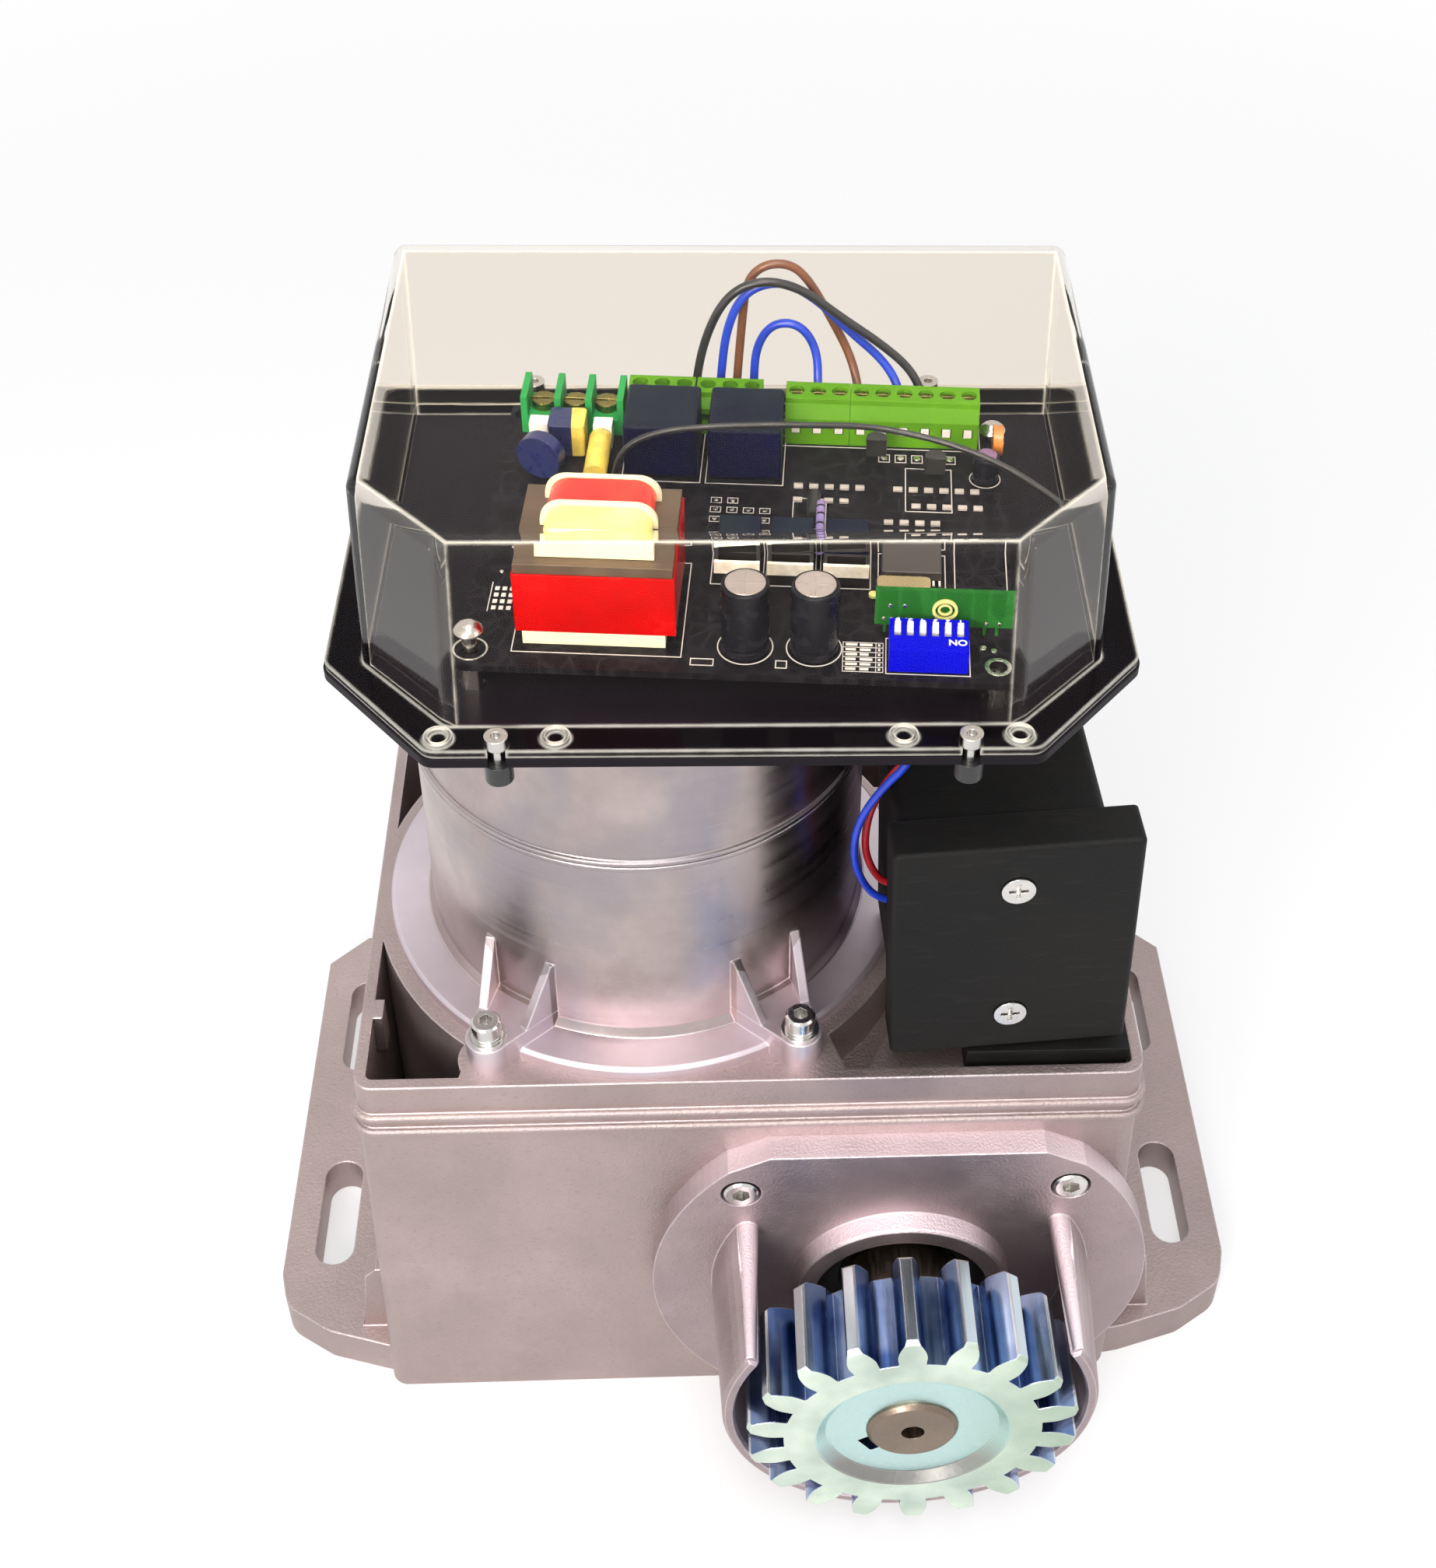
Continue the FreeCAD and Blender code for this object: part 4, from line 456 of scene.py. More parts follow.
def by_height(name, level, low, high, rough_low, rough_high):
    """Two finishes on one piece, changing at a height above the ground in millimetres."""
    f = Finish(name, low, rough_low, 0.0)
    above = f.math("GREATER_THAN", f.axis("Z"), level * MM)
    cloud = f.span(f.noise(400.0, 3.0), 0.0, 1.0, 0.35, 0.65)
    dull = f.mix(cloud, tuple(c * 0.8 for c in low), low)
    shine = f.mix(cloud, tuple(c * 0.85 for c in high), high)
    f.color(f.mix(above, dull, shine))
    f.rough(f.span(above, rough_low, rough_high))
    edge = f.group(EDGE, Radius=0.0002, Amount=1.0)
    f.bump(cloud, 0.00002, 0.4, edge.outputs["Normal"])
    return f.mat


def laminated_finish(name, color, pitch):
    """Stack of sheet steel: fine lines along Y, one a sheet, and varnish blotches."""
    f = Finish(name, color, 0.45, 0.7)
    wave = put(f.tree, "ShaderNodeTexWave", wave_type="BANDS", bands_direction="Y")
    wave.inputs["Scale"].default_value = 1.0 / pitch / math.tau
    join(f.tree, f.coords, wave.inputs["Vector"])
    blotch = f.span(f.noise(60.0, 4.0), 0.0, 1.0, 0.35, 0.65)
    tone = f.mix(blotch, tuple(c * 0.75 for c in color), color)
    f.color(f.mix(f.math("MULTIPLY", wave.outputs["Fac"], 0.35), tone, tuple(c * 0.5 for c in color)))
    f.rough(f.span(blotch, 0.38, 0.55))
    edge = f.group(EDGE, Radius=0.0002, Amount=1.0)
    f.bump(wave.outputs["Fac"], 0.00004, 0.6, edge.outputs["Normal"])
    return f.mat


def board_finish(name, color, trace):
    """Solder mask over copper: faint tracks and a little dust under a satin coat."""
    f = Finish(name, color, 0.32, 0.0, Specular_IOR_Level=0.08)
    cells = put(f.tree, "ShaderNodeTexVoronoi", feature="DISTANCE_TO_EDGE", distance="CHEBYCHEV")
    cells.inputs["Scale"].default_value = 220.0
    join(f.tree, f.stretched((1.0, 1.0, 0.05), (0.0, 0.0, BOARD_TURN)), cells.inputs["Vector"])
    tracks = f.math("LESS_THAN", cells.outputs["Distance"], 0.06)
    dust = f.span(f.noise(1500.0, 2.0), 0.0, 0.5, 0.62, 0.75)
    tone = f.mix(f.math("MULTIPLY", tracks, 0.5), color, trace)
    f.color(f.mix(f.math("MULTIPLY", dust, 0.05), tone, (0.5, 0.5, 0.5)))
    f.rough(f.span(f.noise(80.0, 3.0), 0.22, 0.38))
    f.bump(tracks, 0.00002, 0.5)
    return f.mat


def coil_finish():
    """Two glossy taped coils: yellow in front, red behind, with soft creases."""
    f = Finish("coil_tape", (0.9, 0.8, 0.2), 0.20, 0.0, Coat_Weight=0.4, Coat_Roughness=0.08)
    behind = f.behind(COIL_SPLIT)
    blotch = f.span(f.noise(90.0, 3.0), 0.0, 1.0, 0.35, 0.65)
    yellow = f.mix(blotch, (0.86, 0.74, 0.18), (0.97, 0.90, 0.30))
    red = f.mix(blotch, (0.70, 0.012, 0.006), (0.88, 0.03, 0.012))
    f.color(f.mix(behind, yellow, red))
    f.rough(f.span(blotch, 0.14, 0.28))
    f.bump(f.noise(200.0, 3.0, f.stretched((1.0, 0.5, 3.0))), 0.0001, 0.5)
    return f.mat


def tape_finish(name, color, dark, coat=0.6):
    """Wound tape: overlapping turns with fine creases; coat sets its gloss."""
    f = Finish(name, color, 0.24, 0.0, Coat_Weight=coat, Coat_Roughness=0.06, Specular_IOR_Level=0.08)
    creases = f.noise(260.0, 4.0, f.stretched((1.0, 0.5, 3.0)))
    blotch = f.span(f.noise(90.0, 3.0), 0.0, 1.0, 0.35, 0.65)
    f.color(f.mix(blotch, dark, color))
    f.rough(f.span(blotch, 0.14, 0.28))
    edge = f.group(EDGE, Radius=0.0004, Amount=1.0)
    f.bump(creases, 0.00012, 0.5, edge.outputs["Normal"])
    return f.mat


def sleeve_finish(name, color):
    """Heat-shrunk sleeve with a soft sheen and faint clouding."""
    f = Finish(name, color, 0.26, 0.0, Specular_IOR_Level=0.15)
    cloud = f.span(f.noise(260.0, 3.0), 0.0, 1.0, 0.4, 0.6)
    f.color(f.mix(cloud, tuple(c * 0.7 for c in color), color))
    f.rough(f.span(cloud, 0.18, 0.30))
    edge = f.group(EDGE, Radius=0.0003, Amount=1.0)
    f.bump(f.noise(500.0, 2.0), 0.00003, 0.4, edge.outputs["Normal"])
    return f.mat


def relay_finish():
    """Sealed relay cans: navy sides, dull grey tops."""
    f = Finish("relay_can", (0.004, 0.004, 0.03), 0.36, 0.0, Specular_IOR_Level=0.08)
    top = f.math("GREATER_THAN", f.facing("Z"), 0.6)
    grain = f.group(GRAIN, Fine_Scale=1200.0, Broad_Scale=90.0)
    edge = f.group(EDGE, Radius=0.0004, Amount=1.5)
    tone = f.mix(top, (0.003, 0.003, 0.030), (0.010, 0.016, 0.022))
    tone = f.mix(grain.outputs["Broad"], tone, (0.005, 0.005, 0.020))
    f.color(f.mix(edge.outputs["Mask"], tone, (0.03, 0.03, 0.07)))
    f.rough(f.span(grain.outputs["Broad"], 0.32, 0.44))
    f.bump(grain.outputs["Fine"], 0.00002, 0.6, edge.outputs["Normal"])
    return f.mat


def header_finish():
    """Plug sockets: pale front wall, dark inside and behind."""
    f = Finish("socket_nylon", (0.75, 0.72, 0.62), 0.42, 0.0, Specular_IOR_Level=0.3)
    front = f.math("SUBTRACT", 1.0, f.behind(SOCKET_WALL))
    high = f.math("GREATER_THAN", f.axis("Z"), (BOARD_Z + 2.2) * MM)
    cloud = f.span(f.noise(400.0, 3.0), 0.0, 1.0, 0.35, 0.65)
    pale = f.mix(cloud, (0.62, 0.56, 0.44), (0.80, 0.76, 0.66))
    f.color(f.mix(f.math("MULTIPLY", front, high), (0.014, 0.012, 0.012), pale))
    f.rough(f.span(cloud, 0.34, 0.48))
    edge = f.group(EDGE, Radius=0.0002, Amount=1.0)
    f.bump(cloud, 0.00002, 0.4, edge.outputs["Normal"])
    return f.mat


def lead_finish(name, color):
    """Soft extruded insulation, slightly glossy, with a faint ripple along it."""
    f = Finish(name, color, 0.32, 0.0, Coat_Weight=0.25, Coat_Roughness=0.2)
    cloud = f.span(f.noise(160.0, 3.0), 0.0, 1.0, 0.35, 0.65)
    f.color(f.mix(cloud, tuple(c * 0.75 for c in color), color))
    f.rough(f.span(cloud, 0.28, 0.42))
    f.bump(f.noise(900.0, 2.0), 0.00003, 0.5)
    return f.mat


# side 0.78: painted shade darkens the casting towards its right
CAST = cast_finish("cast_skin", (0.48, 0.39, 0.375), (0.84, 0.74, 0.76), 0.52, 1300.0, 0.00009, 26.0,
                   0.0007, 6.5, None, 0.78)
# the last colour is a painted highlight tone for the flange's upward faces
FLANGE = cast_finish("flange_skin", (0.45, 0.365, 0.375), (0.90, 0.80, 0.84), 0.56, 1500.0, 0.00009, 40.0,
                     0.0006, 7.0, (0.88, 0.76, 0.80))
MOTOR_SKIN = motor_finish()
STAINLESS = machined_finish("stainless", (0.70, 0.68, 0.65), 0.20, (1.0, 1.0, 0.2))
ZINC = pinion_finish()
SHAFT_STEEL = machined_finish("turned_steel", (0.26, 0.20, 0.155), 0.34, (1.0, 0.1, 1.0))
GROUND_STEEL = machined_finish("ground_steel", (0.55, 0.55, 0.55), 0.22, (0.1, 0.1, 1.0))
RACE_STEEL = machined_finish("race_steel", (0.66, 0.66, 0.66), 0.12)
BRONZE = machined_finish("wheel_bronze", (0.62, 0.42, 0.20), 0.32, (1.0, 0.1, 1.0), (0.48, 0.30, 0.13))
RUBBER = plastic_finish("seal_rubber", (0.022, 0.022, 0.022), 0.62, 700.0, 0.00004)
STATOR = laminated_finish("stator_stack", (0.30, 0.30, 0.32), 0.0005)
COPPER = tape_finish("varnished_copper", (0.55, 0.22, 0.07), (0.40, 0.14, 0.04))
PLATE = plastic_finish("black_plate", (0.008, 0.006, 0.009), 0.42, 900.0, 0.00003, 0.0004, 1.5, 0.10)
GLASS = cover_glass()
NUT = plastic_finish("black_nylon", (0.02, 0.02, 0.02), 0.30)
MASK = board_finish("black_mask", (0.006, 0.005, 0.007), (0.022, 0.020, 0.024))
RECEIVER = board_finish("green_mask", (0.010, 0.085, 0.012), (0.02, 0.14, 0.025))
CORE = laminated_finish("core_stack", (0.18, 0.13, 0.09), 0.00035)
RED_TAPE = tape_finish("red_tape", (0.42, 0.001, 0.001), (0.34, 0.001, 0.001), 0.0)
YELLOW_TAPE = coil_finish()
CREAM = plastic_finish("cream_nylon", (0.78, 0.70, 0.48), 0.42, 800.0, 0.00003)
RELAY = relay_finish()
GREEN = plastic_finish("terminal_green", (0.085, 0.25, 0.005), 0.42, 900.0, 0.00003, 0.0003, 2.0, 0.12)
DARK_GREEN = plastic_finish("barrier_green", (0.02, 0.26, 0.06), 0.40, 900.0, 0.00003, 0.0003, 2.0, 0.15)
GILT = machined_finish("gilt_can", (0.66, 0.53, 0.30), 0.24)
OLIVE = machined_finish("clamp_screw", (0.30, 0.26, 0.08), 0.30)
WHITE = plastic_finish("white_nylon", (0.80, 0.78, 0.70), 0.40)
SLEEVE = sleeve_finish("dark_sleeve", (0.010, 0.010, 0.014))
CHIP = by_height("chip_and_legs", BOARD_Z + 0.46, (0.90, 0.87, 0.80), (0.045, 0.038, 0.036), 0.35, 0.46)
CHIP_PARTS = by_height("chip_parts", BOARD_Z + 0.9, (0.42, 0.38, 0.35), (0.02, 0.02, 0.02), 0.35, 0.4)
BLUE = plastic_finish("switch_blue", (0.0005, 0.001, 0.44), 0.40, 900.0, 0.00002, 0.0002, 1.0, 0.04)
SLIDER = plastic_finish("slider_white", (0.88, 0.88, 0.88), 0.35)


def black_case_finish():
    """Limit switch case: spark-eroded black plastic with dust and fine scratches."""
    f = Finish("black_case", (0.01, 0.01, 0.01), 0.42, 0.0, Specular_IOR_Level=0.18)
    grain = f.group(GRAIN, Fine_Scale=1800.0, Broad_Scale=30.0)
    edge = f.group(EDGE, Radius=0.0005, Amount=1.6)
    marks = f.group(SCRATCH, Scale=60.0, Density=0.6)
    tone = f.mix(grain.outputs["Broad"], (0.004, 0.004, 0.004), (0.009, 0.008, 0.007))
    tone = f.mix(f.math("MULTIPLY", marks.outputs["Mask"], 0.05), tone, (0.12, 0.11, 0.10))
    f.color(f.mix(edge.outputs["Mask"], tone, (0.05, 0.05, 0.05)))
    f.rough(f.span(grain.outputs["Broad"], 0.50, 0.66))
    f.bump(grain.outputs["Fine"], 0.00006, 0.8, edge.outputs["Normal"])
    return f.mat


CASE = black_case_finish()


def suppressor_finish():
    """Row of small suppressors told apart by their place: film block, disc, fuse and ceramic disc."""
    f = Finish("suppressor_mix", (0.02, 0.03, 0.10), 0.28, 0.0, Coat_Weight=0.3)
    x = f.axis("X")
    amber = f.math("GREATER_THAN", x, 0.040)
    middle = f.math("GREATER_THAN", x, -0.0385)
    tone = f.mix(middle, (0.012, 0.018, 0.09), (0.80, 0.60, 0.10))
    tone = f.mix(amber, tone, (0.60, 0.20, 0.03))
    cloud = f.span(f.noise(300.0, 3.0), 0.0, 0.3, 0.35, 0.65)
    f.color(f.mix(cloud, tone, (0.02, 0.02, 0.02)))
    f.rough(f.span(cloud, 0.22, 0.40, 0.0, 0.3))
    edge = f.group(EDGE, Radius=0.0003, Amount=1.0)
    f.bump(cloud, 0.00004, 0.4, edge.outputs["Normal"])
    return f.mat


SUPPRESSOR = suppressor_finish()

NODE_FINISH = {
    "base_casting": CAST, "bearing_flange": FLANGE, "flange_screws": STAINLESS, "pinion": ZINC,
    "pinion_key": SHAFT_STEEL, "output_shaft": SHAFT_STEEL, "worm_wheel": BRONZE, "worm_shaft": GROUND_STEEL,
    "shaft_bearings": RACE_STEEL, "motor_bearings": RACE_STEEL, "oil_seals": RUBBER,
    "motor_lower_shield": MOTOR_SKIN, "motor_upper_shield": MOTOR_SKIN, "motor_screws": STAINLESS,
    "stator_core": STATOR, "stator_windings": COPPER, "rotor_core": STATOR, "control_plate": PLATE,
    "plate_pillars": SHAFT_STEEL, "clear_cover": GLASS, "cover_screws": STAINLESS, "cover_nuts": NUT,
    "limit_cover": CASE, "limit_box": CASE, "limit_screws": STAINLESS, "limit_reeds": RECEIVER,
    "limit_foot": CASE, "circuit_board": MASK, "board_standoffs": STAINLESS, "transformer_core": CORE,
    "transformer_tape": RED_TAPE, "transformer_bobbin": CREAM, "transformer_windings": YELLOW_TAPE,
    "power_relays": RELAY, "terminal_blocks": GREEN, "barrier_terminal": DARK_GREEN,
    "terminal_screws": OLIVE, "blade_sockets": WHITE, "capacitors": SLEEVE, "suppressors": SUPPRESSOR,
    "small_relays": RELAY, "pin_headers": header_finish(), "logic_chip": CHIP, "crystal": GILT,
    "receiver_board": RECEIVER, "small_parts": CHIP_PARTS, "dip_switch": BLUE,
}
NODE_FINISH.update({"dip_slider_%d" % k: SLIDER for k in range(1, 7)})

BROWN_PVC = lead_finish("brown_insulation", (0.16, 0.055, 0.02))
BLUE_PVC = lead_finish("blue_insulation", (0.01, 0.05, 0.55))
BLACK_PVC = lead_finish("black_insulation", (0.016, 0.016, 0.018))
RED_PVC = lead_finish("red_insulation", (0.45, 0.012, 0.02))

for name, finish in NODE_FINISH.items():
    NODES[name].data.materials.clear()
    NODES[name].data.materials.append(finish)


# ---------------------------------------------------------------- leads
def lead(name, points, radius, finish, nodes):
    """Round lead: a NURBS line with these points as its control points, given in millimetres."""
    curve = bpy.data.curves.new(name, "CURVE")
    curve.dimensions = "3D"
    curve.bevel_depth = radius * MM
    curve.bevel_resolution = 5
    curve.resolution_u = 10
    curve.use_fill_caps = True
    spline = curve.splines.new("NURBS")
    spline.points.add(len(points) - 1)
    for control, point in zip(spline.points, points):
        control.co = (*[c * MM for c in point], 1.0)
    spline.order_u = 3
    spline.use_endpoint_u = True
    curve.materials.append(finish)
    piece = bpy.data.objects.new(name, curve)
    bpy.context.scene.collection.objects.link(piece)
    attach(piece, "housing")
    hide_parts(*nodes)
    return piece


LEADS = [
    ("brown_lead", BROWN_PVC, 1.0, "brown_leads", "brown_pvc",
     [(-2.0, 19.5, 228.2), (-1.8, 21.2, 239.0), (-1.2, 23.2, 253.0), (0.0, 24.2, 268.0),
      (1.0, 24.2, 278.9), (5.1, 24.2, 283.0), (10.9, 24.2, 283.0), (15.0, 24.2, 278.9),
      (19.8, 23.8, 270.0), (24.9, 22.6, 260.0), (26.9, 18.0, 253.0), (26.8, 10.6, 252.2)]),
    ("short_brown_lead", BROWN_PVC, 1.0, "brown_leads", "brown_pvc",
     [(8.0, 20.5, 228.2), (7.8, 22.2, 237.2), (8.2, 23.9, 246.3), (9.4, 21.6, 250.8),
      (11.4, 17.2, 253.1), (12.3, 11.6, 252.2)]),
    ("blue_lead", BLUE_PVC, 1.0, "blue_leads", "blue_pvc",
     [(-6.0, 19.5, 228.2), (-5.8, 20.6, 240.0), (-5.0, 21.8, 254.0), (-3.6, 22.0, 268.0),
      (0.5, 22.0, 277.4), (8.5, 22.0, 280.2), (16.5, 21.8, 275.6), (24.0, 21.4, 267.5),
      (33.0, 20.2, 259.4), (36.6, 16.6, 253.0), (36.4, 9.8, 252.2)]),
    ("short_blue_lead", BLUE_PVC, 1.0, "blue_leads", "blue_pvc",
     [(3.0, 20.5, 228.2), (2.6, 22.4, 240.0), (2.7, 23.6, 252.0), (3.2, 23.6, 262.0),
      (7.0, 23.2, 268.4), (13.2, 22.2, 268.6), (17.2, 21.2, 262.4), (17.3, 17.4, 253.8),
      (17.1, 11.2, 252.2)]),
    ("black_lead", BLACK_PVC, 1.0, "black_lead", "black_pvc",
     [(-10.0, 19.0, 228.2), (-10.6, 19.6, 240.0), (-11.0, 19.8, 253.0), (-8.5, 19.8, 267.0),
      (-3.4, 19.8, 278.0), (4.5, 19.8, 281.8), (13.5, 19.8, 279.2), (22.0, 19.7, 272.0),
      (31.4, 19.5, 265.0), (38.6, 18.6, 258.6), (41.5, 15.4, 253.0), (41.3, 9.4, 252.2)]),
    ("limit_blue_lead", BLUE_PVC, 0.9, "limit_leads", "blue_pvc",
     [(36.0, -60.0, 236.4), (36.8, -59.6, 223.0), (35.4, -58.6, 209.0), (29.2, -57.4, 199.6),
      (24.4, -56.0, 188.0), (23.6, -54.4, 175.0), (26.4, -52.6, 164.0), (30.8, -51.4, 156.8),
      (36.8, -50.8, 155.0)]),
    ("limit_red_lead", RED_PVC, 0.9, "limit_leads", "blue_pvc",
     [(39.0, -57.2, 236.4), (39.4, -57.0, 223.0), (36.8, -56.0, 209.4), (30.6, -54.8, 200.2),
      (26.9, -53.4, 188.0), (26.4, -51.8, 175.4), (28.6, -50.0, 166.0), (32.0, -48.8, 159.6),
      (36.9, -48.2, 158.0)]),
    ("antenna_lead", BLACK_PVC, 0.7, "antenna_wire", "black_pvc",
     [(-29.0, -13.4, 248.2), (-28.8, -13.2, 255.0), (-25.4, -12.4, 260.8), (-18.0, -11.6, 263.4),
      (-6.0, -10.9, 264.0), (6.0, -10.6, 264.0), (16.5, -10.0, 263.3), (26.0, -9.0, 262.3),
      (34.0, -9.9, 261.3), (42.0, -12.2, 260.6), (52.2, -16.8, 259.4), (61.4, -23.2, 257.4),
      (69.0, -30.6, 255.2)]),
]
for name, finish, radius, node, slot, points in LEADS:
    lead(name, points, radius, finish, [node])


# ---------------------------------------------------------------- printed and built-up details
def on_board(u, v, h):
    """Board to world: x = x0 + u cos a - v sin a, y = y0 + u sin a + v cos a, z = board top + h."""
    c = math.cos(BOARD_TURN)
    s = math.sin(BOARD_TURN)
    return np.stack([BOARD_CORNER[0] + u * c - v * s, BOARD_CORNER[1] + u * s + v * c, BOARD_Z + h], -1) * MM


def piece(name, corners, faces, finish):
    """Closed solid from corner points and faces, fixed to the housing."""
    mesh = bpy.data.meshes.new(name)
    mesh.from_pydata(corners.tolist(), [], faces)
    mesh.materials.append(finish)
    thing = bpy.data.objects.new(name, mesh)
    bpy.context.scene.collection.objects.link(thing)
    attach(thing, "housing")
    return thing


def bars(name, rows, finish, low=0.02, high=0.08):
    """Flat bars on the board, one a row (u0, v0, u1, v1): corners at u0 or u1, v0 or v1, low or high."""
    r = np.array(rows, float)
    u = r[:, [0, 2, 2, 0, 0, 2, 2, 0]]
    v = r[:, [1, 1, 3, 3, 1, 1, 3, 3]]
    h = np.broadcast_to(np.repeat([low, high], 4), u.shape)
    quads = np.array([[0, 3, 2, 1], [4, 5, 6, 7], [0, 1, 5, 4], [1, 2, 6, 5], [2, 3, 7, 6], [3, 0, 4, 7]])
    faces = quads[None] + 8 * np.arange(len(r))[:, None, None]
    return piece(name, on_board(u, v, h).reshape(-1, 3), faces.reshape(-1, 4).tolist(), finish)


def outline(u0, v0, u1, v1, width=0.22):
    """Four bars round a rectangle."""
    w = width
    return [(u0, v0, u1, v0 + w), (u0, v1 - w, u1, v1), (u0, v0 + w, u0 + w, v1 - w),
            (u1 - w, v0 + w, u1, v1 - w)]


def rounds(name, rows, finish, upright=False, steps=40):
    """Discs and rings from rows (u, v, h, outer, inner, thick).

    A rim point is centre + r (cos t, sin t) in the board's plane, or in the upright plane facing the front.
    """
    t = np.arange(steps) * 2 * np.pi / steps
    points = []
    faces = []
    base = 0
    for u, v, h, outer, inner, thick in rows:
        radii = (outer, outer, inner, inner) if inner else (outer, outer)
        for radius, up in zip(radii, (0.0, thick, thick, 0.0)):
            a = radius * np.cos(t)
            b = radius * np.sin(t)
            flat = (u + a, v + b, h + up + 0 * t)
            standing = (u + a, v - up + 0 * t, h + b)
            points.append(on_board(*(standing if upright else flat)))
        k = np.arange(steps)
        n = (k + 1) % steps
        count = len(radii)
        for lane in range(count if inner else 1):
            above = ((lane + 1) % count) * steps
            strip = np.stack([lane * steps + k, lane * steps + n, above + n, above + k], -1)
            faces += (base + strip).tolist()
        if not inner:
            faces += [(base + k[::-1]).tolist(), (base + steps + k).tolist()]
        base += count * steps
    return piece(name, np.concatenate(points), faces, finish)


def legend(name, text, u, v, h, size, finish):
    """Raised white characters lying on the board, read from behind it: p = centre - (x, y), height h."""
    curve = bpy.data.curves.new(name + "_font", "FONT")
    curve.body = text
    curve.size = size
    curve.extrude = 0.03
    curve.offset = 0.05
    curve.align_x = "CENTER"
    curve.align_y = "CENTER"
    words = bpy.data.objects.new(name + "_font", curve)
    bpy.context.scene.collection.objects.link(words)
    mesh = bpy.data.meshes.new_from_object(words)
    flat = np.empty(len(mesh.vertices) * 3)
    mesh.vertices.foreach_get("co", flat)
    flat = flat.reshape(-1, 3)
    mesh.vertices.foreach_set("co", on_board(u - flat[:, 0], v - flat[:, 1], h + flat[:, 2]).ravel())
    mesh.materials.clear()
    mesh.materials.append(finish)
    mesh.update()
    thing = bpy.data.objects.new(name, mesh)
    bpy.context.scene.collection.objects.link(thing)
    bpy.data.objects.remove(words)
    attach(thing, "housing")
    return thing


SILK = plastic_finish("board_ink", (0.66, 0.62, 0.58), 0.5)
TIN = machined_finish("tinned_pad", (0.80, 0.78, 0.72), 0.22)
VENT = plastic_finish("vent_line", (0.30, 0.27, 0.26), 0.4)
BARE_ALU = machined_finish("can_top", (0.66, 0.58, 0.55), 0.34, (1.0, 1.0, 0.2))
COIL = plastic_finish("coil_wire", (0.55, 0.55, 0.20), 0.4)
VIOLET = tape_finish("violet_sleeve", (0.22, 0.17, 0.34), (0.13, 0.10, 0.24), 0.2)
PURPLE_TOP = machined_finish("small_can_top", (0.52, 0.30, 0.52), 0.30)


def board_print():
    """Ink outlines round the parts, the switch table and the square pads at the left."""
    rows = []
    for rect in ((10.8, 4.6, 45.4, 35.2), (27.6, 62.8, 45.2, 82.0), (46.2, 62.8, 63.6, 82.0),
                 (49.6, 28.4, 60.8, 45.6), (61.2, 28.4, 71.8, 45.6), (72.6, 28.4, 83.4, 45.6),
                 (84.8, 29.2, 99.2, 40.8), (101.0, 18.6, 112.2, 47.4), (86.6, 1.9, 103.8, 13.0),
                 (47.2, 2.4, 52.0, 4.6), (64.4, 2.4, 66.8, 4.8), (100.2, 24.6, 102.8, 28.0),
                 (62.6, 78.0, 107.6, 88.4), (90.6, 55.0, 101.0, 71.0), (66.0, 47.6, 73.4, 58.6)):
        rows += outline(*rect)
    for k in range(10):
        u = 48.0 + 3.6 * (k % 4)
        v = 49.0 + 3.4 * (k // 4)
        rows += outline(u, v, u + 2.4, v + 2.0, 0.16)
    for k in range(5):
        rows += outline(84.6 + 3.7 * k, 73.0, 87.2 + 3.7 * k, 76.0, 0.2)
    # table beside the switch: seven lines, three uprights, two marks to a row
    for k in range(7):
        rows.append((77.9, 2.2 + 1.5 * k, 86.2, 2.36 + 1.5 * k))
    for u in (77.9, 84.6, 86.04):
        rows.append((u, 2.36, u + 0.16, 11.2))
    for k in range(6):
        v = 2.75 + 1.5 * k
        rows += [(78.5, v, 80.6 + 0.3 * (k % 2), v + 0.7), (81.4, v, 83.2 + 0.4 * (k % 3), v + 0.7),
                 (85.1, v, 85.6, v + 0.7)]
    for k in range(12):
        u = 5.0 + 1.55 * (k % 3)
        v = 17.6 + 2.1 * (k // 3)
        rows.append((u, v, u + 0.95, v + 1.2))
    rows += [(4.2, 17.0, 4.4, 26.4), (74.0, 50.0, 80.0, 50.2), (88.0, 45.0, 94.0, 45.5)]
    bars("board_ink", rows, SILK)
    circles = [(u, v, 0.02, 5.75, 5.5, 0.06) for u, v in CAPS] + [(*SMALL_CAP, 0.02, 3.5, 3.3, 0.06)]
    rounds("board_ink_rings", circles, SILK)


